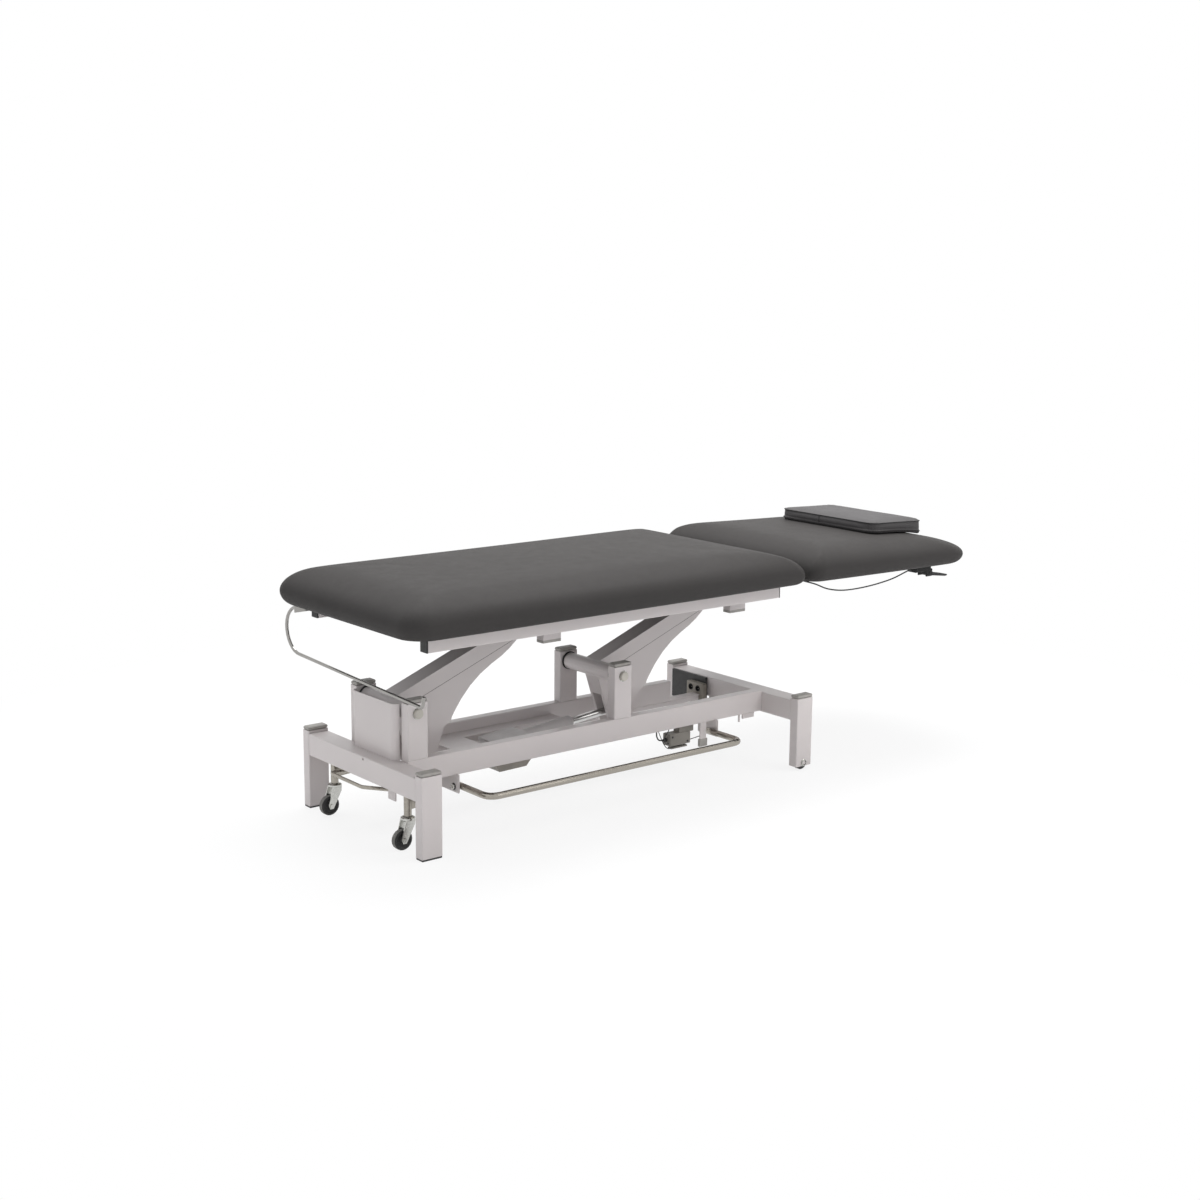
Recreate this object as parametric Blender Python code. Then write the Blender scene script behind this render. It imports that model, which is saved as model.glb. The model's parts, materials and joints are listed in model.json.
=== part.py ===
"""Electric massage table: a lifting couch with a tilting head section.

Metres, +Z up, +X towards the head end, -Y the side with the foot bar.
Stations along X are written from the outer face of the foot legs and
the whole table is moved onto its own centre at the end.
"""

import math

import bmesh
import bpy
from mathutils import Vector

for old in list(bpy.data.objects):
    bpy.data.objects.remove(old, do_unlink=True)

# Clearances
GAP = 0.0003  # between pieces that sit on each other
RUN = 0.0003  # radial play of a pin in its hole
SIDE = 0.001  # side play of a turning piece

# Steel tube, long side and short side of its section
TUBE_A = 0.060
TUBE_B = 0.030
EDGE = 0.0025  # outside rounding of the tube

# Base frame
BASE_WIDTH = 0.568
HEAD_LEG_X = 1.276
LEG_TOP = 0.212
PAD_T = 0.005
CAP_H = 0.010
CROSS_Z = (0.146, 0.205)
BEAM_Y = 0.135  # outer face of the long beams
BEAM_Z = (0.149, 0.210)
POST_TOP = 0.355
FOOT_POST_X = 0.0885  # middle of the foot posts
PIVOT_PITCH = 0.664  # from the foot posts to the middle posts
PIVOT_Z = 0.328
COVER_X = 0.040  # outer face of the foot cover
COVER_HALF = BEAM_Y - TUBE_B - 0.0045
COVER_TOP = 0.3505
COVER_BEND = 0.0165
COVER_T = 0.002

# Head-leg rollers
ROLLER_R = 0.022
ROLLER_W = 0.018
ROLLER_SLOT = 0.021
ROLLER_PIN_R = 0.004
HEAD_LEG_Z0 = 0.012

# Lift arms, from the lower pivot to the upper pivot
ARM_DX = 0.4205
ARM_DZ = 0.162
ARM_HALF_W = 0.030
ARM_HALF_H = 0.020
GUSSET_HALF_W = 0.0285
HUB_R = 0.023
UPPER_HUB_R = 0.020
SHAFT_R = 0.008
BOLT_R = 0.0105
BOLT_H = 0.0045
LEVER_CUT_HALF = 0.018

# Actuator, measured from the middle lower pivot
LEVER_PIN = (0.075, -0.130)
ACT_TAIL = (-0.380, -0.170)
SLOT_ANGLE = -40.0
SLOT_FROM = -0.006
SLOT_TO = 0.0175
ACT_PIN_R = 0.006
SLOT_HALF = 0.0085
ACT_TUBE_R = 0.018
ACT_ROD_R = 0.010
ACT_TUBE_END = 0.305
ACT_ROD_IN = 0.165

# Top frame
RAIL_X = (0.031, 1.200)
RAIL_Z = (0.514, 0.552)
END_CAP = 0.004
HANGER_Z = (0.4545, 0.532, 0.5515)

# Cushions
CUSHION_Z = RAIL_Z[1] + GAP
BOARD_T = 0.012
MAIN_X = (-0.058, 1.2675)
HEAD_X = (1.2835, 1.986)
CUSHION_HALF = 0.334
RAIL_Y = CUSHION_HALF - 0.062  # outer face of the rails
MAIN_TOP = 0.653
MAIN_CROWN = 0.006
HEAD_TOP = 0.641
HEAD_CROWN = 0.003
HEAD_DROP = 0.026  # fall of the head section's top towards its end
HEAD_SAG = 0.012  # fall of its lower side over the same length
HEAD_TAPER = 0.05
HEAD_END = (0.018, 0.024, 0.260)  # draw-in, widest line and round of its free end
TUCK = 0.030  # how far the lower edge is drawn in at an outer side
JOINT_TUCK = 0.010  # the same where the two cushions meet
BULGE = 0.036  # height of the widest line above the lower edge
JOINT_BULGE = 0.014
BOARD_INSET = 0.010  # from the lower edge of a cushion to its board

# Head hinge, in the groove between the two cushions
HINGE_X = (MAIN_X[1] + HEAD_X[0]) / 2
HINGE_Z = 0.566
HINGE_HALF = CUSHION_HALF - 0.099  # half the length of a hinge leaf
KNUCKLE_R = 0.0055
HINGE_PIN_R = 0.003

# Gas spring, measured from the head hinge
GAS_Y = HINGE_HALF - 0.045
GAS_TAIL = (-0.300, -0.120)
GAS_PIN = (0.050, -0.060)
GAS_SLOT_FROM = -0.0135
GAS_SLOT_TO = 0.0025
GAS_SLOT_TURN = 20.0

# Foot bar
BAR_R = 0.009
BAR_PIVOT = (-0.128, 0.118)
BAR_EAR_X = (0.200, 1.091)
BAR_EAR_T = 0.006
BAR_OUT_Y = -0.262

# Lowering casters at the foot end
CARRIER = (0.088, 0.118)
CARRIER_R = 0.009
CASTER_X = 0.030
CASTER_Y = 0.175
TRAIL = 0.018
WHEEL_R = 0.0265
WHEEL_W = 0.020
WHEEL_LIFT = 0.001

CENTRE_X = (MAIN_X[0] + HEAD_X[1]) / 2


def paint(name, colour, metallic, roughness):
    made = bpy.data.materials.new(name)
    made.use_nodes = True
    shader = made.node_tree.nodes["Principled BSDF"]
    shader.inputs["Base Color"].default_value = (*colour, 1.0)
    shader.inputs["Metallic"].default_value = metallic
    shader.inputs["Roughness"].default_value = roughness
    made.diffuse_color = (*colour, 1.0)
    return made


WHITE = ("white_paint", (0.62, 0.60, 0.60), 0.0, 0.45)
GREY = ("grey_cap", (0.22, 0.22, 0.21), 0.0, 0.55)
BLACK = ("black_plastic", (0.02, 0.02, 0.02), 0.0, 0.5)
LEATHER = ("upholstery", (0.10, 0.097, 0.095), 0.0, 0.55)
STEEL = ("stainless", (0.60, 0.58, 0.53), 1.0, 0.25)
ZINC = ("zinc", (0.62, 0.62, 0.60), 1.0, 0.35)
BEIGE = ("beige_housing", (0.45, 0.42, 0.36), 0.0, 0.5)
RUBBER = ("rubber", (0.05, 0.05, 0.05), 0.0, 0.7)


def finish(bm, name, look, origin=(0.0, 0.0, 0.0)):
    """The mesh becomes an object whose origin is the given point."""
    bmesh.ops.recalc_face_normals(bm, faces=bm.faces)
    bmesh.ops.translate(bm, vec=-Vector(origin), verts=bm.verts)
    mesh = bpy.data.meshes.new(name)
    bm.to_mesh(mesh)
    bm.free()
    obj = bpy.data.objects.new(name, mesh)
    obj.location = origin
    bpy.context.scene.collection.objects.link(obj)
    if look is not None:
        mesh.materials.append(paint(name + "_" + look[0], *look[1:]))
    return obj


def box(name, xs, ys, zs, look, bevel=EDGE, segments=2, origin=(0, 0, 0)):
    bm = bmesh.new()
    bmesh.ops.create_cube(bm, size=1.0)
    size = Vector((xs[1] - xs[0], ys[1] - ys[0], zs[1] - zs[0]))
    mid = Vector((sum(xs) / 2, sum(ys) / 2, sum(zs) / 2))
    for v in bm.verts:
        v.co = Vector((v.co.x * size.x, v.co.y * size.y, v.co.z * size.z)) + mid
    if bevel > 0:
        bmesh.ops.bevel(bm, geom=list(bm.edges), offset=bevel, segments=segments,
                        profile=0.5, affect="EDGES", clamp_overlap=True)
    return finish(bm, name, look, origin)


def tube_box(name, xs, ys, zs, axis, look, bevel=EDGE, segments=2):
    """A length of tube: only the four edges along its length are rounded."""
    bm = bmesh.new()
    bmesh.ops.create_cube(bm, size=1.0)
    size = Vector((xs[1] - xs[0], ys[1] - ys[0], zs[1] - zs[0]))
    mid = Vector((sum(xs) / 2, sum(ys) / 2, sum(zs) / 2))
    for v in bm.verts:
        v.co = Vector((v.co.x * size.x, v.co.y * size.y, v.co.z * size.z)) + mid
    along = []
    for e in bm.edges:
        step = e.verts[1].co - e.verts[0].co
        if abs(step[axis]) > 0.5 * step.length:
            along.append(e)
    bmesh.ops.bevel(bm, geom=along, offset=bevel, segments=segments,
                    profile=0.5, affect="EDGES", clamp_overlap=True)
    return finish(bm, name, look)


def prism(name, outline, y0, y1, look, origin=(0, 0, 0)):
    """A flat outline of (x, z) points, drawn out from y0 to y1."""
    bm = bmesh.new()
    near = [bm.verts.new((x, y0, z)) for x, z in outline]
    far = [bm.verts.new((x, y1, z)) for x, z in outline]
    bm.faces.new(near)
    bm.faces.new(far)
    for i in range(len(outline)):
        j = (i + 1) % len(outline)
        bm.faces.new((near[i], near[j], far[j], far[i]))
    return finish(bm, name, look, origin)


def slab(name, outline, z0, z1, look, lean=None):
    """A flat outline of (x, y) points, drawn up from z0 to z1."""
    bm = bmesh.new()
    low = []
    high = []
    for x, y in outline:
        lift = lean(x) if lean else 0.0
        low.append(bm.verts.new((x, y, z0 + lift)))
        high.append(bm.verts.new((x, y, z1 + lift)))
    bm.faces.new(low)
    bm.faces.new(high)
    for i in range(len(outline)):
        j = (i + 1) % len(outline)
        bm.faces.new((low[i], low[j], high[j], high[i]))
    return finish(bm, name, look)


def turned(name, profile, start, along, look, sides=24, origin=(0, 0, 0)):
    """Rings of (distance along, radius), closed at both ends."""
    along = Vector(along).normalized()
    spin = along.to_track_quat("Z", "Y").to_matrix()
    bm = bmesh.new()
    rings = []
    for d, r in profile:
        ring = []
        for i in range(sides):
            a = 2 * math.pi * i / sides
            local = Vector((r * math.cos(a), r * math.sin(a), d))
            ring.append(bm.verts.new(Vector(start) + spin @ local))
        rings.append(ring)
    for low, high in zip(rings, rings[1:]):
        for i in range(sides):
            j = (i + 1) % sides
            bm.faces.new((low[i], low[j], high[j], high[i]))
    bm.faces.new(rings[0])
    bm.faces.new(rings[-1])
    return finish(bm, name, look, origin)


def ring_turned(name, profile, centre, look, sides=32):
    """A closed (distance along Y, radius) profile turned about a Y axis."""
    bm = bmesh.new()
    rings = []
    for i in range(sides):
        a = 2 * math.pi * i / sides
        ring = []
        for d, r in profile:
            at = Vector((r * math.cos(a), d, r * math.sin(a)))
            ring.append(bm.verts.new(Vector(centre) + at))
        rings.append(ring)
    count = len(profile)
    for i in range(sides):
        near = rings[i]
        far = rings[(i + 1) % sides]
        for k in range(count):
            m = (k + 1) % count
            bm.faces.new((near[k], near[m], far[m], far[k]))
    return finish(bm, name, look, centre)


def pin(name, start, end, radius, sides=20):
    """A plain round bar without a look: a helper for joining or cutting."""
    start = Vector(start)
    end = Vector(end)
    length = (end - start).length
    return turned(name, [(0, radius), (length, radius)], start, end - start, None, sides)


def rounded_path(points, radius, steps=5):
    """The corners of a bent bar, each replaced by a short arc."""
    points = [Vector(p) for p in points]
    path = [points[0]]
    for before, here, after in zip(points, points[1:], points[2:]):
        a = (before - here).normalized()
        b = (after - here).normalized()
        half = a.angle(b) / 2
        cut = min(radius / math.tan(half), 0.45 * (before - here).length,
                  0.45 * (after - here).length)
        start = here + a * cut
        end = here + b * cut
        for i in range(steps + 1):
            t = i / steps
            path.append(start * (1 - t) ** 2 + here * 2 * t * (1 - t) + end * t * t)
    path.append(points[-1])
    return path


def bent_bar(name, path, radius, look, sides=12, origin=(0, 0, 0)):
    """A round bar along a path, closed at both ends."""
    path = [Vector(p) for p in path]
    bm = bmesh.new()
    across = None
    rings = []
    for i, here in enumerate(path):
        ahead = path[min(i + 1, len(path) - 1)] - path[max(i - 1, 0)]
        ahead.normalize()
        if across is None:
            across = ahead.orthogonal().normalized()
        across = (across - ahead * across.dot(ahead)).normalized()
        other = ahead.cross(across)
        ring = []
        for k in range(sides):
            a = 2 * math.pi * k / sides
            ring.append(bm.verts.new(here + (across * math.cos(a) + other * math.sin(a)) * radius))
        rings.append(ring)
    for low, high in zip(rings, rings[1:]):
        for k in range(sides):
            m = (k + 1) % sides
            bm.faces.new((low[k], low[m], high[m], high[k]))
    bm.faces.new(rings[0])
    bm.faces.new(rings[-1])
    return finish(bm, name, look, origin)


def helper(obj):
    obj.hide_render = True
    obj.display_type = "WIRE"
    return obj


def combine(obj, other, how):
    step = obj.modifiers.new(how.lower() + "_" + other.name, "BOOLEAN")
    step.operation = how
    step.solver = "EXACT"
    step.object = helper(other)
    return obj


def join(obj, other):
    return combine(obj, other, "UNION")


def cut(obj, other):
    return combine(obj, other, "DIFFERENCE")


def cord(name, points, radius, look):
    """A round cord along points that are already close together."""
    data = bpy.data.curves.new(name, "CURVE")
    data.dimensions = "3D"
    data.bevel_depth = radius
    data.bevel_resolution = 2
    data.use_fill_caps = True
    line = data.splines.new("POLY")
    line.points.add(len(points) - 1)
    for p, at in zip(line.points, points):
        p.co = (*at, 1.0)
    data.materials.append(paint(name + "_" + look[0], *look[1:]))
    obj = bpy.data.objects.new(name, data)
    bpy.context.scene.collection.objects.link(obj)
    return obj


def smooth_path(points, count):
    """Evenly spread points on a soft curve through the given ones."""
    points = [Vector(p) for p in points]
    first = points[0] * 2 - points[1]
    last = points[-1] * 2 - points[-2]
    through = [first] + points + [last]
    fine = []
    for i in range(1, len(through) - 2):
        p0, p1, p2, p3 = through[i - 1:i + 3]
        for k in range(24):
            t = k / 24
            fine.append(0.5 * (p1 * 2 + (p2 - p0) * t
                               + (p0 * 2 - p1 * 5 + p2 * 4 - p3) * t * t
                               + (p1 * 3 - p0 - p2 * 3 + p3) * t ** 3))
    fine.append(points[-1])
    run = [0.0]
    for a, b in zip(fine, fine[1:]):
        run.append(run[-1] + (b - a).length)
    spread = []
    k = 0
    for i in range(count):
        want = run[-1] * i / (count - 1)
        while k < len(run) - 2 and run[k + 1] < want:
            k += 1
        part = (want - run[k]) / max(run[k + 1] - run[k], 1e-9)
        spread.append(fine[k].lerp(fine[k + 1], min(max(part, 0.0), 1.0)))
    return spread


def outline(x0, x1, half, r0, r1, arc=6, long_steps=9, short_steps=5):
    """A rounded oblong in plan, with its own corner radius at each end."""
    corners = [(x0 + r0, -half + r0, r0, 180), (x1 - r1, -half + r1, r1, 270),
               (x1 - r1, half - r1, r1, 0), (x0 + r0, half - r0, r0, 90)]
    points = []
    for n, (cx, cy, r, turn) in enumerate(corners):
        for i in range(arc + 1):
            a = math.radians(turn + 90 * i / arc)
            points.append((cx + r * math.cos(a), cy + r * math.sin(a)))
        nx, ny, nr, nturn = corners[(n + 1) % 4]
        a = math.radians(nturn)
        sx, sy = points[-1]
        ex, ey = nx + nr * math.cos(a), ny + nr * math.sin(a)
        steps = long_steps if n % 2 == 0 else short_steps
        for i in range(1, steps):
            t = i / steps
            points.append((sx + (ex - sx) * t, sy + (ey - sy) * t))
    return points


def cushion(name, xs, half, radii, z0, top, ends, crown, look, taper=0.0,
            wave=None, lean=None, steps=(6, 9, 5), strips=False):
    """A padded block: drawn in at its lower edge, round sides, crowned top.

    ends holds, for the foot end, the head end and the two sides, how far
    the lower edge is drawn in, how high the widest line lies above it and
    how far the round reaches in at the top. With strips, the lower and
    upper faces are bands across, so that each one is flat.
    """

    def inset(z, tuck, bulge, run):
        below = (z0 + bulge - z) / bulge
        if below >= 0:
            return tuck * (1 - math.sqrt(max(1 - below * below, 0.0)))
        above = min((z - z0 - bulge) / (top - z0 - bulge), 1.0)
        return run * (1 - math.sqrt(max(1 - above * above, 0.0)))

    def ring(z, more=0.0):
        d0, d1, ds = [inset(z, *end) + more for end in ends]
        shrink = ds if z > z0 + ends[2][1] else 0.0
        r0 = max(radii[0] - shrink, 0.012)
        r1 = max(radii[1] - shrink, 0.012)
        made = []
        for x, y in outline(xs[0] + d0, xs[1] - d1, half - ds, r0, r1, *steps):
            f = (x - xs[0]) / (xs[1] - xs[0])
            up = min((z - z0) / (top - z0), 1.0)
            lift = wave(x) * up if wave else 0.0
            lift += lean(x) if lean else 0.0
            made.append((x, y * (1 - taper * f * f), z + lift))
        return made

    widest = ends[2][1]
    rings = [ring(z0 + widest * f) for f in (0.0, 0.13, 0.36, 0.66, 1.0)]
    for i in range(1, 8):
        t = math.radians(90 * i / 7)
        rings.append(ring(z0 + widest + (top - z0 - widest) * math.sin(t)))
    flat = min(half - ends[2][2], (xs[1] - xs[0] - ends[0][2] - ends[1][2]) / 2)
    for f in (0.35, 0.75):
        rings.append(ring(top + crown * (1 - (1 - f) ** 2), flat * f))
    bm = bmesh.new()
    loops = [[bm.verts.new(p) for p in r] for r in rings]
    for low, high in zip(loops, loops[1:]):
        for i in range(len(low)):
            j = (i + 1) % len(low)
            bm.faces.new((low[i], low[j], high[j], high[i]))
    for loop in (loops[0], loops[-1]):
        if not strips:
            bm.faces.new(loop)
            continue
        rows = {}
        for v in loop:
            rows.setdefault(round(v.co.x, 6), []).append(v)
        rows = [sorted(rows[x], key=lambda v: v.co.y) for x in sorted(rows)]
        for near, far in zip(rows, rows[1:]):
            bm.faces.new(near + far[::-1])
    return finish(bm, name, look)


def both(y0, y1, sign):
    return (y0, y1) if sign > 0 else (-y1, -y0)


SIDES = (("front", -1), ("rear", 1))
LEG_Y = (BASE_WIDTH / 2 - TUBE_B, BASE_WIDTH / 2)
POST_Y = (BEAM_Y - TUBE_B, BEAM_Y)
MID_POST_X = FOOT_POST_X + PIVOT_PITCH
UP_Z = PIVOT_Z + ARM_DZ

# Legs, their caps, pads and rollers
for side, sign in SIDES:
    ys = both(*LEG_Y, sign)
    foot = (0.0, TUBE_A)
    head = (HEAD_LEG_X, HEAD_LEG_X + TUBE_A)
    tube_box("foot_leg_" + side, foot, ys, (PAD_T + GAP, LEG_TOP), 2, WHITE)
    box("foot_pad_" + side, (foot[0] + 0.001, foot[1] - 0.001),
        (ys[0] + 0.001, ys[1] - 0.001), (0.0, PAD_T), BLACK, 0.0008, 1)
    leg = tube_box("head_leg_" + side, head, ys, (HEAD_LEG_Z0, LEG_TOP), 2, WHITE)
    mid = sum(ys) / 2
    well_x = (head[0] + 0.006, head[1] - 0.006)
    well = box("roller_well_" + side, well_x,
               (mid - ROLLER_SLOT / 2, mid + ROLLER_SLOT / 2),
               (HEAD_LEG_Z0 - 0.02, 2 * ROLLER_R + 0.006), None, 0)
    cut(leg, well)
    roller_at = (sum(head) / 2, mid, ROLLER_R)
    bolt = turned("roller_bolt_" + side,
                  [(0, 0.0055), (0.003, 0.0065), (0.003, ROLLER_PIN_R),
                   (TUBE_B + 0.003, ROLLER_PIN_R), (TUBE_B + 0.003, 0.0065),
                   (TUBE_B + 0.006, 0.0055)],
                  (roller_at[0], ys[0] - 0.003, ROLLER_R), (0, 1, 0), None, 16)
    join(leg, bolt)
    w = ROLLER_W / 2
    bore = ROLLER_PIN_R + RUN
    ring_turned("head_roller_" + side,
                [(-w, bore), (-w, ROLLER_R - 0.003), (-w + 0.003, ROLLER_R),
                 (w - 0.003, ROLLER_R), (w, ROLLER_R - 0.003), (w, bore)],
                roller_at, BLACK, 24)
    for end, xs in (("foot", foot), ("head", head)):
        box(end + "_leg_cap_" + side, xs, ys,
            (LEG_TOP + GAP, LEG_TOP + CAP_H), GREY, 0.0045, 2)

# Cross beams, the foot one with two ears for the caster shaft
inner = BASE_WIDTH / 2 - TUBE_B - GAP
cross = tube_box("foot_cross_beam", (0.001, TUBE_A - 0.001), (-inner, inner),
                 CROSS_Z, 1, WHITE)
ear_shape = [(0.012, CROSS_Z[0] + 0.004), (0.055, CROSS_Z[0] + 0.004),
             (0.100, 0.133), (0.106, 0.118), (0.100, 0.104), (0.088, 0.099),
             (0.074, 0.104), (0.014, 0.140)]
for side, sign in SIDES:
    ear = prism("caster_ear_" + side, ear_shape, *both(0.205, 0.212, sign), None)
    join(cross, ear)
ear_bore = pin("caster_ear_bore", (CARRIER[0], -0.24, CARRIER[1]),
               (CARRIER[0], 0.24, CARRIER[1]), CARRIER_R + RUN, 24)
cut(cross, ear_bore)
join(cross, box("pedal_stop", (0.028, 0.032), (-0.122, -0.088), (0.108, CROSS_Z[0] + 0.004),
                None, 0.001, 1))
screw_at = (-0.015, CROSS_Z[1] - 0.007)
screw = pin("cross_beam_screw_hole", (-0.01, *screw_at), (0.006, *screw_at), 0.0035, 12)
cut(cross, screw)
tube_box("head_cross_beam", (HEAD_LEG_X + 0.001, HEAD_LEG_X + TUBE_A - 0.001),
         (-inner, inner), CROSS_Z, 1, WHITE)

# Long beams, the front one with two ears for the foot bar
beam_x = (TUBE_A - 0.001 + GAP, HEAD_LEG_X + 0.001 - GAP)
front = tube_box("front_beam", beam_x, both(*POST_Y, -1), BEAM_Z, 0, WHITE)
for n, ear_x in enumerate(BAR_EAR_X):
    plate = box("bar_ear_%d" % n, (ear_x, ear_x + BAR_EAR_T), (-0.149, -0.064),
                (BAR_PIVOT[1] - 0.016, BEAM_Z[0] + 0.004), None, 0.003, 1)
    join(front, plate)
bar_bore = pin("bar_ear_bore", (BAR_EAR_X[0] - 0.02, *BAR_PIVOT),
               (BAR_EAR_X[1] + 0.03, *BAR_PIVOT), 0.004 + RUN, 16)
cut(front, bar_bore)
join(front, box("bar_strap", (1.040, 1.064), (-0.133, -0.129), (0.080, BEAM_Z[0] + 0.004),
                None, 0.001, 1))
join(front, box("beam_tab", (1.207, 1.252), (-0.131, -0.125), (0.134, BEAM_Z[0] + 0.004),
                None, 0.001, 1))
join(front, pin("beam_tab_pin", (1.195, -0.128, 0.127), (1.195, -0.128, BEAM_Z[0] + 0.004),
                0.003, 10))
rear = tube_box("rear_beam", beam_x, both(*POST_Y, 1), BEAM_Z, 0, WHITE)
cut(rear, box("rear_beam_notch", (HEAD_LEG_X - 0.141, HEAD_LEG_X + 0.02),
              (POST_Y[0] - 0.01, POST_Y[1] + 0.01), (BEAM_Z[0] + 0.005, BEAM_Z[1] + 0.02),
              None, 0))

# Posts with the lower pivots, and their caps
for end, at in (("foot", FOOT_POST_X), ("mid", MID_POST_X)):
    xs = (at - TUBE_A / 2, at + TUBE_A / 2)
    for side, sign in SIDES:
        ys = both(*POST_Y, sign)
        post = tube_box(end + "_post_" + side, xs, ys,
                        (BEAM_Z[1] + GAP, POST_TOP), 2, WHITE)
        bore = pin(end + "_post_bore_" + side, (at, ys[0] - 0.01, PIVOT_Z),
                   (at, ys[1] + 0.01, PIVOT_Z), SHAFT_R + RUN, 20)
        cut(post, bore)
        box(end + "_post_cap_" + side, xs, ys,
            (POST_TOP + GAP, POST_TOP + CAP_H), GREY, 0.0045, 2)

# Sheet tray between the beams, open where the actuator moves
tray_y = POST_Y[0] - GAP
tray_x = (FOOT_POST_X + 0.1735, MID_POST_X - 0.0625)
tray_z = (BEAM_Z[0] + 0.031, BEAM_Z[0] + 0.033)
tray = box("tray", tray_x, (-tray_y, tray_y), tray_z, WHITE, 0)
cut(tray, box("tray_slot", (tray_x[0] + 0.093, tray_x[1] + 0.060),
              (-tray_y + 0.0507, tray_y - 0.0507), (tray_z[0] - 0.01, tray_z[1] + 0.01),
              None, 0))

# Sheet cover at the foot end, with rounded upright edges
cover = []
for grow in (0.0, COVER_T):
    bend = COVER_BEND - grow
    row = []
    for sign, turn in ((-1, 270), (1, 180)):
        for i in range(6):
            a = math.radians(turn - 18 * i)
            row.append((COVER_X + COVER_BEND + bend * math.cos(a),
                        sign * (COVER_HALF - COVER_BEND) + bend * math.sin(a)))
    cover += row if not grow else row[::-1]
slab("foot_cover", cover[::-1], CROSS_Z[1] + GAP, COVER_TOP, WHITE)

# Lift arms
reach = math.hypot(ARM_DX, ARM_DZ)
ux, uz = ARM_DX / reach, ARM_DZ / reach


def on_arm(s, h):
    return (ux * s - uz * h, uz * s + ux * h)


UPPER_SHAFT_R = 0.007
gusset_shape = [on_arm(0.425, -ARM_HALF_H + 0.004), on_arm(0.415, -ARM_HALF_H),
                (0.3780, 0.1150), (0.3580, 0.0985), (0.3330, 0.0820),
                (0.3000, 0.0650), (0.2660, 0.0440), (0.2330, 0.0170),
                (0.2030, -0.0165), (0.1840, -0.0435), (0.1745, -0.0585),
                (0.1715, -0.0690), (0.1500, -0.0810), (0.1290, -0.1370),
                (0.1230, -0.1560), (0.1130, -0.1680), (0.0970, -0.1750),
                (0.0720, -0.1750), (0.0530, -0.1690), (0.0435, -0.1580),
                (-0.0030, -0.0200), on_arm(0.0, 0.010)]
for end, at in (("foot", FOOT_POST_X), ("mid", MID_POST_X)):
    lower = (at, 0.0, PIVOT_Z)
    tube = [on_arm(-0.004, ARM_HALF_H), on_arm(-0.004, -ARM_HALF_H)]
    for i in range(9):
        a = math.radians(-90 + 180 * i / 8)
        tube.append(on_arm(reach + ARM_HALF_H * math.cos(a), ARM_HALF_H * math.sin(a)))
    tube = [(at + x, PIVOT_Z + z) for x, z in tube]
    plate = [(at + x, PIVOT_Z + z) for x, z in gusset_shape]
    arm = prism(end + "_arm", tube, -ARM_HALF_W, ARM_HALF_W, WHITE, lower)
    join(arm, prism(end + "_gusset", plate, -GUSSET_HALF_W, GUSSET_HALF_W, None))
    in_post = POST_Y[0] - SIDE
    out = POST_Y[1] + SIDE
    for level, (px, pz), hub, shaft in (("lower", (at, PIVOT_Z), HUB_R, SHAFT_R),
                                        ("upper", (at + ARM_DX, UP_Z), UPPER_HUB_R,
                                         UPPER_SHAFT_R)):
        profile = [(-out - BOLT_H, BOLT_R - 0.003), (-out - BOLT_H * 0.6, BOLT_R),
                   (-out, BOLT_R), (-out, shaft), (-in_post, shaft), (-in_post, hub),
                   (in_post, hub), (in_post, shaft), (out, shaft), (out, BOLT_R),
                   (out + BOLT_H * 0.6, BOLT_R), (out + BOLT_H, BOLT_R - 0.003)]
        join(arm, turned(end + "_" + level + "_hub", profile, (px, 0, pz), (0, 1, 0),
                         None, 20))
    low = PIVOT_Z + LEVER_PIN[1]
    cut(arm, box(end + "_lever_fork", (at - 0.03, at + 0.18),
                 (-LEVER_CUT_HALF, LEVER_CUT_HALF), (low - 0.08, low + 0.052), None, 0))
    slot = []
    a0 = math.radians(SLOT_ANGLE)
    for centre, turn in ((SLOT_TO, -90), (SLOT_FROM, 90)):
        for i in range(9):
            a = a0 + math.radians(turn + 180 * i / 8)
            slot.append((at + LEVER_PIN[0] + centre * math.cos(a0) + SLOT_HALF * math.cos(a),
                         low + centre * math.sin(a0) + SLOT_HALF * math.sin(a)))
    cut(arm, prism(end + "_lever_slot", slot, -0.05, 0.05, None))

# Actuator: mount, body and rod
tail = Vector((MID_POST_X + ACT_TAIL[0], 0, PIVOT_Z + ACT_TAIL[1]))
rod_end = Vector((MID_POST_X + LEVER_PIN[0], 0, PIVOT_Z + LEVER_PIN[1]))
push = (rod_end - tail).normalized()
push_len = (rod_end - tail).length
mount = box("actuator_mount", (tail.x - 0.040, tail.x - 0.032), (-tray_y, tray_y),
            (0.140, 0.178), WHITE, 0.001, 1)
for side, sign in SIDES:
    join(mount, box("actuator_ear_" + side, (tail.x - 0.034, tail.x + 0.014),
                    both(0.0165, 0.0225, sign), (tail.z - 0.015, tail.z + 0.015),
                    None, 0.002, 1))
join(mount, pin("actuator_tail_pin", (tail.x, -0.020, tail.z), (tail.x, 0.020, tail.z),
                ACT_PIN_R, 20))


def along_push(s, lift=0.0):
    side = Vector((-push.z, 0, push.x))
    return tail + push * s + side * lift


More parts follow.
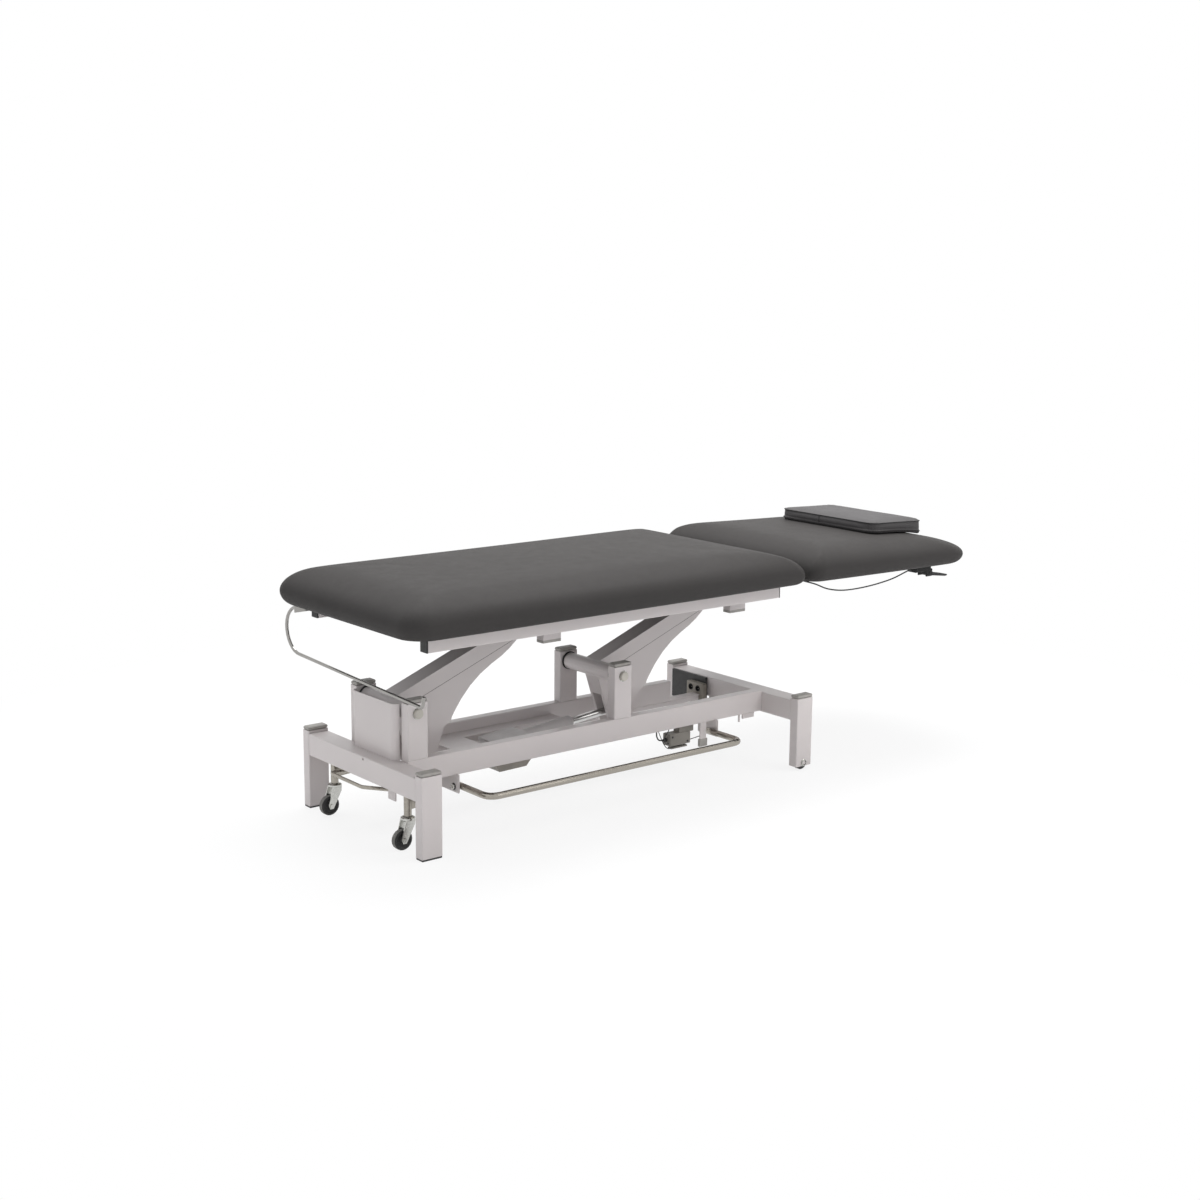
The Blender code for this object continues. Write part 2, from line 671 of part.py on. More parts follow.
body = prism("actuator_body",
             [tuple(along_push(s, h).xz) for s, h in
              ((-0.012, -0.008), (-0.012, 0.008), (-0.006, 0.013), (0.030, 0.015),
               (0.030, -0.015), (-0.006, -0.013))],
             -0.015, 0.015, BEIGE, tail)
join(body, prism("actuator_gearbox",
                 [tuple(along_push(s, h).xz) for s, h in
                  ((0.022, 0.019), (0.135, 0.019), (0.142, 0.012), (0.142, -0.048),
                   (0.118, -0.070), (0.030, -0.064), (0.022, -0.050))],
                 -0.040, 0.040, None))
join(body, turned("actuator_tube", [(0.10, ACT_TUBE_R), (ACT_TUBE_END - 0.004, ACT_TUBE_R),
                                    (ACT_TUBE_END, ACT_TUBE_R - 0.003)],
                  tail, push, None, 24))
cut(body, pin("actuator_bore", along_push(ACT_ROD_IN - 0.045),
              along_push(ACT_TUBE_END + 0.02), ACT_ROD_R + RUN + 0.0002, 24))
cut(body, pin("actuator_tail_bore", tail + Vector((0, -0.05, 0)), tail + Vector((0, 0.05, 0)),
              ACT_PIN_R + RUN, 24))
rod = turned("actuator_rod", [(ACT_ROD_IN, ACT_ROD_R), (push_len - 0.008, ACT_ROD_R)],
             tail, push, STEEL, 20, rod_end)
join(rod, prism("actuator_eye",
                [tuple(along_push(push_len + s, h).xz) for s, h in
                 ((-0.020, -0.012), (0.006, -0.012), (0.012, -0.006), (0.012, 0.006),
                  (0.006, 0.012), (-0.020, 0.012))], -0.0155, 0.0155, None))
join(rod, pin("actuator_eye_pin", rod_end + Vector((0, -0.0315, 0)),
              rod_end + Vector((0, 0.0315, 0)), ACT_PIN_R, 20))

# Control box on the inner face of the head cross beam
control = box("control_box", (HEAD_LEG_X - 0.008, HEAD_LEG_X + 0.001 - GAP),
              (POST_Y[0] - 0.007, inner - 0.004), (CROSS_Z[0] - 0.028, CROSS_Z[1] - 0.0015),
              BEIGE, 0.001, 1)
join(control, box("control_sockets", (HEAD_LEG_X - 0.026, HEAD_LEG_X - 0.006),
                  (POST_Y[0] - 0.013, POST_Y[0] + 0.058),
                  (CROSS_Z[0] - 0.024, CROSS_Z[0] + 0.040), None, 0.002, 1))
for n, y in enumerate((0.007, 0.038)):
    cut(control, pin("control_hole_%d" % n, (HEAD_LEG_X - 0.04, POST_Y[0] + y, 0.170),
                     (HEAD_LEG_X - 0.014, POST_Y[0] + y, 0.170), 0.0095, 16))
cut(control, box("control_beam_slot", (HEAD_LEG_X - 0.04, HEAD_LEG_X + 0.01),
                 (POST_Y[0] - GAP, POST_Y[1] + GAP),
                 (BEAM_Z[0] - GAP, BEAM_Z[0] + 0.005 + GAP), None, 0))

# Switch of the foot bar under the front beam, and its lead into the beam
switch_x = (0.930, 1.006)
switch = box("switch_box", switch_x, (-0.131, -0.098), (0.097, 0.132), GREY, 0.003, 2)
join(switch, box("switch_bracket", (0.966, 1.020), (-0.127, -0.102),
                 (0.130, BEAM_Z[0] - GAP), None, 0.001, 1))
join(switch, box("switch_plunger", (0.980, 0.990), (-0.118, -0.110), (0.090, 0.099), None, 0))
join(switch, box("switch_lever", (0.942, 1.002), (-0.122, -0.106), (0.086, 0.091), None,
                 0.001, 1))
lead = [(switch_x[0] - 2 * GAP, -0.112, 0.114), (0.920, -0.112, 0.114),
        (0.900, -0.116, 0.119), (0.890, -0.119, 0.131), (0.888, -0.120, 0.141),
        (0.888, -0.120, BEAM_Z[0] - 2 * GAP)]
cord("switch_lead", smooth_path(lead, 14), 0.002, BLACK)

# Foot bar: a bent bar that hangs on two short pins
bar_x = (BAR_EAR_X[0] + BAR_EAR_T + SIDE + BAR_R, BAR_EAR_X[1] - SIDE - BAR_R)
bar_path = rounded_path([(bar_x[0], BAR_PIVOT[0] + 0.012, BAR_PIVOT[1]),
                         (bar_x[0], BAR_OUT_Y, BAR_PIVOT[1]),
                         (bar_x[1], BAR_OUT_Y, BAR_PIVOT[1]),
                         (bar_x[1], BAR_PIVOT[0] + 0.012, BAR_PIVOT[1])], 0.035, 6)
bar = bent_bar("foot_bar", bar_path, BAR_R, STEEL, 16, (sum(bar_x) / 2, *BAR_PIVOT))
join(bar, pin("bar_pin_0", (BAR_EAR_X[0] - 0.004, *BAR_PIVOT), (bar_x[0], *BAR_PIVOT),
              0.004, 16))
join(bar, pin("bar_pin_1", (bar_x[1], *BAR_PIVOT),
              (BAR_EAR_X[1] + BAR_EAR_T + 0.004, *BAR_PIVOT), 0.004, 16))

# Caster carrier: shaft, two arms with bosses and a pedal bar
boss_z = (0.086, 0.140)
carrier_at = (CARRIER[0], 0.0, CARRIER[1])
carrier = turned("caster_carrier", [(-0.222, CARRIER_R), (0.222, CARRIER_R)],
                 carrier_at, (0, 1, 0), WHITE, 20, carrier_at)
link_shape = [(0.027, 0.102), (0.086, 0.105), (0.098, 0.109), (0.101, 0.118),
              (0.098, 0.127), (0.086, 0.131), (0.027, 0.126)]
for side, sign in SIDES:
    join(carrier, prism("caster_link_" + side, link_shape,
                        *both(CASTER_Y - 0.006, CASTER_Y + 0.006, sign), None))
    join(carrier, pin("caster_boss_" + side, (CASTER_X, sign * CASTER_Y, boss_z[0]),
                      (CASTER_X, sign * CASTER_Y, boss_z[1]), 0.010, 20))
pedal = [(CARRIER[0], 0.148, CARRIER[1]), (0.000, 0.148, 0.124), (0.000, -0.010, 0.124),
         (CARRIER[0], -0.100, CARRIER[1])]
join(carrier, bent_bar("caster_pedal", rounded_path(pedal, 0.02, 4), 0.005, None, 8))
for side, sign in SIDES:
    cut(carrier, pin("caster_boss_bore_" + side,
                     (CASTER_X, sign * CASTER_Y, boss_z[0] - 0.01),
                     (CASTER_X, sign * CASTER_Y, boss_z[1] + 0.01), 0.006 + RUN, 20))

# Casters: swivel forks and wheels
axle = (CASTER_X - TRAIL, WHEEL_R + WHEEL_LIFT)
cheek = [(CASTER_X - 0.013, 0.078), (CASTER_X + 0.013, 0.078), (CASTER_X + 0.012, 0.066),
         (axle[0] + 0.009, axle[1] - 0.001), (axle[0] + 0.005, axle[1] - 0.008),
         (axle[0] - 0.005, axle[1] - 0.008), (axle[0] - 0.009, axle[1] + 0.002)]
for side, sign in SIDES:
    y = sign * CASTER_Y
    fork = turned("caster_fork_" + side,
                  [(-0.011, 0.0165), (-0.009, 0.0185), (-SIDE - 0.003, 0.0185),
                   (-SIDE, 0.0125), (-SIDE, 0.006), (0.053, 0.006), (0.054, 0.005)],
                  (CASTER_X, y, boss_z[0]), (0, 0, 1), ZINC, 20,
                  (CASTER_X, y, boss_z[0]))
    for n, (a, b) in enumerate(((0.0110, 0.0140), (-0.0140, -0.0110))):
        join(fork, prism("caster_cheek_%s_%d" % (side, n), cheek, y + a, y + b, None))
    join(fork, turned("caster_axle_" + side,
                      [(-0.017, 0.0055), (-0.0125, 0.0055), (-0.0125, 0.004),
                       (0.0125, 0.004), (0.0125, 0.0055), (0.017, 0.0055)],
                      (axle[0], y, axle[1]), (0, 1, 0), None, 12))
    w = WHEEL_W / 2
    bore = 0.004 + RUN
    ring_turned("caster_wheel_" + side,
                [(-w, bore), (-w, 0.009), (-w + 0.003, 0.011), (-w + 0.003, 0.018),
                 (-w + 0.001, 0.021), (-w + 0.004, WHEEL_R), (w - 0.004, WHEEL_R),
                 (w - 0.001, 0.021), (w - 0.003, 0.018), (w - 0.003, 0.011), (w, 0.009),
                 (w, bore)], (axle[0], y, axle[1]), RUBBER, 20)

# Top frame: rails with end caps, and two hangers for the upper pivots
for side, sign in SIDES:
    ys = both(RAIL_Y - TUBE_B, RAIL_Y, sign)
    rail = tube_box("rail_" + side, RAIL_X, ys, RAIL_Z, 0, WHITE)
    for end, xs in (("foot", (RAIL_X[0] - GAP - END_CAP, RAIL_X[0] - GAP)),
                    ("head", (RAIL_X[1] + GAP, RAIL_X[1] + GAP + END_CAP))):
        box("rail_cap_%s_%s" % (end, side), xs, ys, RAIL_Z, BLACK, 0.0012, 1)
    if sign > 0:
        rear_rail = rail
for end, at in (("foot", FOOT_POST_X), ("mid", MID_POST_X)):
    px = at + ARM_DX
    xs = (px - TUBE_A / 2, px + TUBE_A / 2)
    reach_y = RAIL_Y - TUBE_B - GAP
    hanger = tube_box(end + "_hanger", xs, (-reach_y, reach_y),
                      (HANGER_Z[1], HANGER_Z[2]), 1, WHITE)
    for side, sign in SIDES:
        join(hanger, tube_box("%s_hanger_leg_%s" % (end, side),
                              (xs[0] + 0.0002, xs[1] - 0.0002), both(*POST_Y, sign),
                              (HANGER_Z[0], HANGER_Z[1] + 0.010), 2, None))
    cut(hanger, pin(end + "_hanger_bore", (px, -0.16, UP_Z), (px, 0.16, UP_Z),
                    UPPER_SHAFT_R + RUN, 20))

# Gas-spring tail bracket on the rear rail
gas_tail = Vector((HINGE_X + GAS_TAIL[0], GAS_Y, HINGE_Z + GAS_TAIL[1]))
gas_end = Vector((HINGE_X + GAS_PIN[0], GAS_Y, HINGE_Z + GAS_PIN[1]))
join(rear_rail, box("gas_bracket_arm", (gas_tail.x - 0.02, gas_tail.x + 0.02),
                    (GAS_Y + 0.0130, RAIL_Y - TUBE_B + 0.004),
                    (RAIL_Z[0] + 0.010, RAIL_Z[0] + 0.026), None, 0))
join(rear_rail, box("gas_bracket_plate", (gas_tail.x - 0.014, gas_tail.x + 0.014),
                    (GAS_Y + 0.0125, GAS_Y + 0.0185),
                    (gas_tail.z - 0.014, RAIL_Z[0] + 0.025), None, 0))
join(rear_rail, pin("gas_bracket_pin", gas_tail + Vector((0, 0.015, 0)),
                    gas_tail + Vector((0, -0.012, 0)), 0.004, 16))

# Gas spring: cylinder and rod
gas_push = (gas_end - gas_tail).normalized()
gas_len = (gas_end - gas_tail).length
cylinder = turned("gas_cylinder", [(0.010, 0.007), (0.014, 0.011), (0.150, 0.011),
                                   (0.155, 0.008)], gas_tail, gas_push, BLACK, 20,
                  gas_tail)
join(cylinder, pin("gas_tail_eye", gas_tail + Vector((0, -0.007, 0)),
                   gas_tail + Vector((0, 0.007, 0)), 0.0105, 20))
cut(cylinder, pin("gas_tail_bore", gas_tail + Vector((0, -0.03, 0)),
                  gas_tail + Vector((0, 0.03, 0)), 0.004 + RUN, 20))
cut(cylinder, pin("gas_bore", gas_tail + gas_push * 0.060, gas_tail + gas_push * 0.2,
                  0.005 + RUN, 20))
gas_rod = turned("gas_rod", [(0.080, 0.005), (gas_len - 0.006, 0.005)], gas_tail, gas_push,
                 STEEL, 16, gas_end)
join(gas_rod, pin("gas_rod_eye", gas_end + Vector((0, -0.008, 0)),
                  gas_end + Vector((0, 0.007, 0)), 0.009, 20))
join(gas_rod, pin("gas_rod_pin", gas_end, gas_end + Vector((0, 0.019, 0)), 0.004, 16))

# Boards and cushions
main_radii = (0.065, 0.045)
head_radii = (0.040, 0.095)


def head_lean(x):
    f = (x - HEAD_X[0]) / (HEAD_X[1] - HEAD_X[0])
    return HEAD_DROP * (0.45 - f)


def head_sag(x):
    return -HEAD_SAG * (x - HEAD_X[0]) / (HEAD_X[1] - HEAD_X[0])


def head_rise(x):
    return head_lean(x) - head_sag(x)


def head_fall(x):
    """How far the round of the free end has fallen below the top."""
    t = max((x - HEAD_X[1]) / HEAD_END[2] + 1, 0.0)
    return (HEAD_TOP - CUSHION_Z - HEAD_END[1]) * (1 - math.sqrt(1 - t * t))


def pillow_rest(x):
    return head_lean(x) - head_fall(x)


def board(name, xs, tucks, radii, taper, grow, z0, z1, look, lean):
    inset = BOARD_INSET - grow
    shape = outline(xs[0] + tucks[0] + inset, xs[1] - tucks[1] - inset,
                    CUSHION_HALF - TUCK - inset, radii[0] - inset, radii[1] - inset)
    made = []
    for x, y in shape:
        f = (x - xs[0]) / (xs[1] - xs[0])
        made.append((x, y * (1 - taper * f * f)))
    return slab(name, made, z0, z1, look, lean)


for name, xs, radii, ends, top, crown, taper, wave, lean in (
        ("main", MAIN_X, main_radii,
         ((TUCK, BULGE, 0.135), (JOINT_TUCK, JOINT_BULGE, 0.180), (TUCK, BULGE, 0.100)),
         MAIN_TOP, MAIN_CROWN, 0.0, None, None),
        ("head", HEAD_X, head_radii,
         ((JOINT_TUCK, JOINT_BULGE, 0.110), HEAD_END, (TUCK, BULGE, 0.100)),
         HEAD_TOP, HEAD_CROWN, HEAD_TAPER, head_rise, head_sag)):
    tucks = (ends[0][0], ends[1][0])
    plate = board(name + "_board", xs, tucks, radii, taper, 0.0, CUSHION_Z,
                  CUSHION_Z + BOARD_T, BLACK, lean)
    pad = cushion(name + "_cushion", xs, CUSHION_HALF, radii, CUSHION_Z, top, ends, crown,
                  LEATHER, taper, wave, lean)
    cut(pad, board(name + "_recess", xs, tucks, radii, taper, GAP, CUSHION_Z - 0.02,
                   CUSHION_Z + BOARD_T + GAP, None, lean))
    if name == "head":
        head_board = plate

# Pillow on the head section
PILLOW_X = (HEAD_X[1] - 0.331, HEAD_X[1] - 0.099)
PILLOW_HALF = CUSHION_HALF - 0.137
PILLOW_Z = HEAD_TOP + 0.62 * HEAD_CROWN + GAP
PILLOW_T = 0.033
pillow_end = (0.008, 0.014, 0.014)
cushion("pillow", PILLOW_X, PILLOW_HALF, (0.024, 0.024), PILLOW_Z, PILLOW_Z + PILLOW_T,
        (pillow_end, pillow_end, pillow_end), 0.002, LEATHER, 0.0, head_fall, pillow_rest,
        (4, 6, 4), True)

# Hinge leaves in the groove between the cushions
leaf_z = (RAIL_Z[1] - 0.0055, RAIL_Z[1])
strap_y = HINGE_HALF - 0.005
strap_z = HINGE_Z - 0.008
leaf = box("main_hinge_leaf", (RAIL_X[1] + 0.006, HINGE_X - 0.0035), (-HINGE_HALF, HINGE_HALF),
           leaf_z, BLACK, 0)
join(leaf, box("main_strap", (HINGE_X - 0.0065, HINGE_X - 0.0035), (-strap_y, strap_y),
               (leaf_z[0] + 0.001, strap_z), None, 0))
leaf_x = (HINGE_X + 0.0035, HINGE_X + 0.095)
leaf_fall = head_sag(leaf_x[1])
other = prism("head_hinge_leaf", [(leaf_x[0], leaf_z[0]), (leaf_x[1], leaf_z[0] + leaf_fall),
                                  (leaf_x[1], leaf_z[1] + leaf_fall), (leaf_x[0], leaf_z[1])],
              -HINGE_HALF, HINGE_HALF, BLACK)
join(other, box("head_strap", (HINGE_X + 0.0035, HINGE_X + 0.0065), (-strap_y, strap_y),
                (leaf_z[0] + 0.001, strap_z), None, 0))
for side, sign in SIDES:
    ys = both(HINGE_HALF - 0.0440, HINGE_HALF - 0.0140, sign)
    join(leaf, box("main_lug_" + side, (HINGE_X - 0.0065, HINGE_X), ys,
                   (strap_z - 0.003, HINGE_Z), None, 0))
    join(leaf, pin("main_knuckle_" + side, (HINGE_X, ys[0] - 0.0002, HINGE_Z),
                   (HINGE_X, ys[1] + 0.0002, HINGE_Z), KNUCKLE_R, 20))
    ys = both(HINGE_HALF - 0.0755, HINGE_HALF - 0.0450, sign)
    join(other, box("head_lug_" + side, (HINGE_X, HINGE_X + 0.0065), ys,
                    (strap_z - 0.003, HINGE_Z), None, 0))
    join(other, pin("head_knuckle_" + side, (HINGE_X, ys[0] - 0.0002, HINGE_Z),
                    (HINGE_X, ys[1] + 0.0002, HINGE_Z), KNUCKLE_R, 20))
    ys = both(HINGE_HALF - 0.0650, HINGE_HALF - 0.0125, sign)
    join(other, pin("hinge_pin_" + side, (HINGE_X, ys[0], HINGE_Z), (HINGE_X, ys[1], HINGE_Z),
                    HINGE_PIN_R, 16))
    cut(leaf, pin("hinge_bore_" + side, (HINGE_X, sign * (HINGE_HALF - 0.085), HINGE_Z),
                  (HINGE_X, sign * (HINGE_HALF + 0.005), HINGE_Z), HINGE_PIN_R + RUN, 16))
cut(leaf, box("gas_rod_notch", (HINGE_X - 0.028, HINGE_X + 0.001),
              (GAS_Y - 0.008, GAS_Y + 0.008), (leaf_z[0] - 0.005, strap_z - 0.004), None, 0))
slotted = prism("gas_lug", [(gas_end.x - 0.030, leaf_z[0] + 0.003),
                            (gas_end.x + 0.034, leaf_z[0] + 0.003),
                            (gas_end.x + 0.022, gas_end.z - 0.006),
                            (gas_end.x + 0.012, gas_end.z - 0.018),
                            (gas_end.x - 0.010, gas_end.z - 0.018),
                            (gas_end.x - 0.022, gas_end.z - 0.004)],
                GAS_Y + 0.0100, GAS_Y + 0.0160, None)
join(other, slotted)
turn = math.atan2(GAS_PIN[1], GAS_PIN[0]) + math.radians(GAS_SLOT_TURN)
slot = []
for centre, start in ((GAS_SLOT_TO, -90), (GAS_SLOT_FROM, 90)):
    for i in range(9):
        a = turn + math.radians(start + 180 * i / 8)
        slot.append((gas_end.x + centre * math.cos(turn) + 0.0055 * math.cos(a),
                     gas_end.z + centre * math.sin(turn) + 0.0055 * math.sin(a)))
cut(other, prism("gas_lug_slot", slot, GAS_Y, GAS_Y + 0.03, None))
stop_x = HINGE_X + 0.060
stop_y = GAS_Y - 0.040
stop = box("cable_stop", (stop_x, stop_x + 0.012), (stop_y, stop_y + 0.016),
           (leaf_z[0] - 0.0125, leaf_z[0] + 0.003), None, 0)
join(other, stop)

# Release handle under the head end, joined to the head board
release_y = -(CUSHION_HALF - 0.076)
housing_half = 0.018
cheek_t = 0.005
lever_half = 0.012
release_x = HEAD_X[1] - 0.221
housing_z = CUSHION_Z - 0.0283
lever_at = (release_x + 0.063, release_y, CUSHION_Z - 0.0343)
release = box("release_housing", (release_x, release_x + 0.070),
              (release_y - housing_half, release_y + housing_half),
              (housing_z, CUSHION_Z + head_sag(release_x) + 0.004), None, 0.003, 1)
for n, sign in enumerate((-1, 1)):
    ys = both(housing_half - cheek_t, housing_half - 0.0004, sign)
    join(release, box("release_cheek_%d" % n, (release_x + 0.047, release_x + 0.076),
                      (release_y + ys[0], release_y + ys[1]),
                      (housing_z - 0.016, housing_z + 0.007), None, 0.002, 1))
join(head_board, release)
cut(head_board, pin("release_bore", (lever_at[0], release_y - 0.04, lever_at[2]),
                    (lever_at[0], release_y + 0.04, lever_at[2]), 0.003 + RUN, 16))
paddle = [(-0.012, -0.006), (0.000, -0.008), (0.032, -0.012), (0.077, -0.018),
          (0.086, -0.017), (0.086, -0.013), (0.072, -0.010), (0.034, -0.004),
          (0.012, 0.004), (0.000, 0.0045), (-0.012, 0.003)]
lever = prism("release_lever", [(lever_at[0] + x, lever_at[2] + z) for x, z in paddle],
              release_y - lever_half, release_y + lever_half, BLACK, lever_at)
join(lever, pin("release_pin", (lever_at[0], release_y - 0.019, lever_at[2]),
                (lever_at[0], release_y + 0.019, lever_at[2]), 0.003, 16))

# Release cable: from the housing along the head section to its stop
cable_z = housing_z + 0.009
cable = [(release_x - 2 * GAP, release_y - 0.004, cable_z),
         (release_x - 0.015, release_y - 0.004, cable_z)]
for f, y, z in ((0.9285, -0.006, -0.004), (0.7855, -0.012, -0.017), (0.5812, -0.018, -0.025),
                (0.3769, -0.021, -0.025), (0.2339, -0.021, -0.014), (0.1318, -0.018, 0.005)):
    cable.append((HINGE_X + (release_x - HINGE_X) * f, release_y + y, cable_z + z))
cable += [(stop_x - 0.0085, release_y + 0.003, cable_z + 0.010),
          (stop_x - 0.0055, release_y + 0.038, cable_z + 0.010),
          (stop_x + 0.0025, release_y + 0.138, cable_z + 0.009),
          (stop_x + 0.0055, stop_y - 0.130, cable_z + 0.008),
          (stop_x + 0.0060, stop_y - 0.040, cable_z + 0.0075),
          (stop_x + 0.0060, stop_y - 0.020, cable_z + 0.0075),
          (stop_x + 0.0060, stop_y - 2 * GAP, cable_z + 0.0075)]
cord("release_cable", smooth_path(cable, 64), 0.002, BLACK)

# Paper-roll bar: a round bend from a plate on the rear rail, then across the foot end
hook_x = -0.015
hook_r = 0.0655
bend_y = RAIL_Y - 0.0085
bend_z = 0.4855
hook = []
for i in range(15):
    a = math.radians(76 - 168.5 * i / 14)
    rise = hook_r if a < 0 else hook_r - 0.0055
    hook.append((hook_x, bend_y + hook_r * math.cos(a), bend_z + rise * math.sin(a)))
hook.insert(0, (hook_x, RAIL_Y + GAP + 0.0012, hook[0][2] + 0.0016))
front = RAIL_Y + 0.043
hook += rounded_path([hook[-1], (hook_x, -front, 0.3955), (hook_x, -front - 0.005, 0.424)],
                     0.012, 5)[1:]
paper = bent_bar("paper_bar", hook, 0.0045, STEEL, 10)
join(paper, box("paper_bracket", (hook_x - 0.007, 0.078), (RAIL_Y + GAP, RAIL_Y + GAP + 0.004),
                (0.530, 0.551), None, 0.001, 1))

# The table is moved onto its own centre
for obj in bpy.data.objects:
    obj.location.x -= CENTRE_X
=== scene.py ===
"""Looks of the electric massage table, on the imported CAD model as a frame.

Metres, the same frame as the CAD. Stations along X that are shared with
part.py are written as there, from the outer face of the foot legs, and
at() moves them into the frame.
"""

import json
import math

import bmesh
import bpy
from mathutils import Matrix, Vector


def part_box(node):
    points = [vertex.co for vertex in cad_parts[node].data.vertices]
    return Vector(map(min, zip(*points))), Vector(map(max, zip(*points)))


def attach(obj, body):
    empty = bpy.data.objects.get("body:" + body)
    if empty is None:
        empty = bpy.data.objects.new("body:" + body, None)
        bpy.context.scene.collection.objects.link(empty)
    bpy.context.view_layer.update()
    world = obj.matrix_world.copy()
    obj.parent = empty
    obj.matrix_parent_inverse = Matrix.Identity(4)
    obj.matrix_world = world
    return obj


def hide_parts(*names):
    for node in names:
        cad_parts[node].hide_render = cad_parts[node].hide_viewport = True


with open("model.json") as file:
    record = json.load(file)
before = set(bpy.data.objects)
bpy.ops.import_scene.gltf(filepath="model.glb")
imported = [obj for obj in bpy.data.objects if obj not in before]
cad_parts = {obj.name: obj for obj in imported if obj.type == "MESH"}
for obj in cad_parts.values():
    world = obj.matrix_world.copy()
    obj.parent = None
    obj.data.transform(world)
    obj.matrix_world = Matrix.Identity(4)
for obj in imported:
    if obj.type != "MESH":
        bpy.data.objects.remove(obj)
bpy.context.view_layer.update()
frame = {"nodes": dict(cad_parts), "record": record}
nodes = frame["nodes"]
scene = bpy.context.scene
GAP = 0.0003
CENTRE_X = 0.964
HEAD_LEG_X = 1.276
SIDES = (("front", -1), ("rear", 1))


def at(x, y, z):
    """A place in the frame, from a station along part.py's X."""
    return Vector((x - CENTRE_X, y, z))


# Camera, fitted to the photograph
CAMERA_AT = Vector((-3.261325, -3.790575, 1.48035))
CAMERA_AHEAD = Vector((0.6180, 0.7618, -0.1942))
CAMERA_ROLL = math.radians(0.56)
CAMERA_LENS = 54.0987
ahead = CAMERA_AHEAD.normalized()
level = ahead.cross(Vector((0, 0, 1))).normalized()
above = level.cross(ahead)
across = level * math.cos(CAMERA_ROLL) + above * math.sin(CAMERA_ROLL)
upward = above * math.cos(CAMERA_ROLL) - level * math.sin(CAMERA_ROLL)
camera_data = bpy.data.cameras.new("photo_camera")
camera_data.sensor_width = 36
camera_data.lens = CAMERA_LENS
camera_data.clip_end = 60
camera = bpy.data.objects.new("photo_camera", camera_data)
scene.collection.objects.link(camera)
turn = Matrix((across, upward, -ahead)).transposed().to_4x4()
turn.translation = CAMERA_AT
camera.matrix_world = turn
scene.camera = camera


# Materials
class Look:
    """A node material, with short calls that add nodes to it."""

    def __init__(self, name, colour, metallic=0.0, roughness=0.5, **sockets):
        self.made = bpy.data.materials.new(name)
        self.made.use_nodes = True
        self.tree = self.made.node_tree
        self.shader = self.tree.nodes["Principled BSDF"]
        self.put(self.shader, {"Base Color": (*colour, 1.0), "Metallic": metallic,
                               "Roughness": roughness})
        for key, value in sockets.items():
            self.put(self.shader, {key.replace("_", " "): value})
        self.places = self.add("ShaderNodeTexCoord").outputs["Object"]
        self.bumped = None

    def put(self, node, inputs):
        for key, value in inputs.items():
            if isinstance(value, bpy.types.NodeSocket):
                self.tree.links.new(value, node.inputs[key])
            else:
                node.inputs[key].default_value = value

    def add(self, kind, inputs=None, **settings):
        node = self.tree.nodes.new(kind)
        for key, value in settings.items():
            setattr(node, key, value)
        self.put(node, inputs or {})
        return node

    def stretched(self, scale):
        node = self.add("ShaderNodeMapping", {"Vector": self.places, "Scale": scale})
        return node.outputs[0]

    def noise(self, scale, detail=2.0, rough=0.5, where=None, warp=0.0):
        node = self.add("ShaderNodeTexNoise", {"Vector": where or self.places, "Scale": scale,
                                               "Detail": detail, "Roughness": rough,
                                               "Distortion": warp})
        return node.outputs["Fac"]

    def cells(self, scale, feature="F1", where=None):
        node = self.add("ShaderNodeTexVoronoi", {"Vector": where or self.places, "Scale": scale},
                        feature=feature)
        return node.outputs["Distance"]

    def spread(self, value, low, high, to_low=0.0, to_high=1.0):
        node = self.add("ShaderNodeMapRange", {"Value": value, "From Min": low, "From Max": high,
                                               "To Min": to_low, "To Max": to_high})
        return node.outputs[0]

    def sum(self, first, second, how="ADD"):
        return self.add("ShaderNodeMath", {0: first, 1: second}, operation=how).outputs[0]

    def mix(self, share, first, second):
        node = self.add("ShaderNodeMix", {"Factor": share}, data_type="RGBA")
        for place, value in ((6, first), (7, second)):
            if isinstance(value, bpy.types.NodeSocket):
                self.tree.links.new(value, node.inputs[place])
            else:
                node.inputs[place].default_value = (*value, 1.0)
        return node.outputs[2]

    def axis(self, letter):
        return self.add("ShaderNodeSeparateXYZ", {"Vector": self.places}).outputs[letter]

    def colour(self, socket):
        self.put(self.shader, {"Base Color": socket})

    def roughness(self, value, low, high):
        self.put(self.shader, {"Roughness": self.spread(value, 0.25, 0.75, low, high)})

    def bump(self, height, strength, depth):
        inputs = {"Height": height, "Strength": strength, "Distance": depth}
        if self.bumped:
            inputs["Normal"] = self.bumped
        self.bumped = self.add("ShaderNodeBump", inputs).outputs[0]
        self.put(self.shader, {"Normal": self.bumped})


def tint(colour, factor):
    return tuple(c * factor for c in colour)


def powder_coat(name, colour, warm):
    """Satin powder coat: fine orange peel, soft tone changes, a few scuffs."""
    look = Look(name, colour, roughness=0.36)
    tone = look.spread(look.noise(2.6, 3.0), 0.3, 0.7)
    base = look.mix(tone, tint(colour, 0.955), warm)
    scuffs = look.noise(38.0, 5.0, 0.62, look.stretched((1.0, 1.0, 0.35)), 0.6)
    low = look.spread(look.axis("Z"), 0.0, 0.14, 1.0, 0.1)
    marks = look.sum(look.spread(scuffs, 0.68, 0.80), low, "MULTIPLY")
    marks = look.sum(marks, 0.22, "MULTIPLY")
    look.colour(look.mix(marks, base, tint(colour, 0.72)))
    look.roughness(look.noise(60.0, 3.0), 0.28, 0.37)
    look.bump(look.noise(620.0, 1.0), 0.12, 0.0003)
    look.bump(look.noise(9.0, 2.0), 0.03, 0.0010)
    return look.made


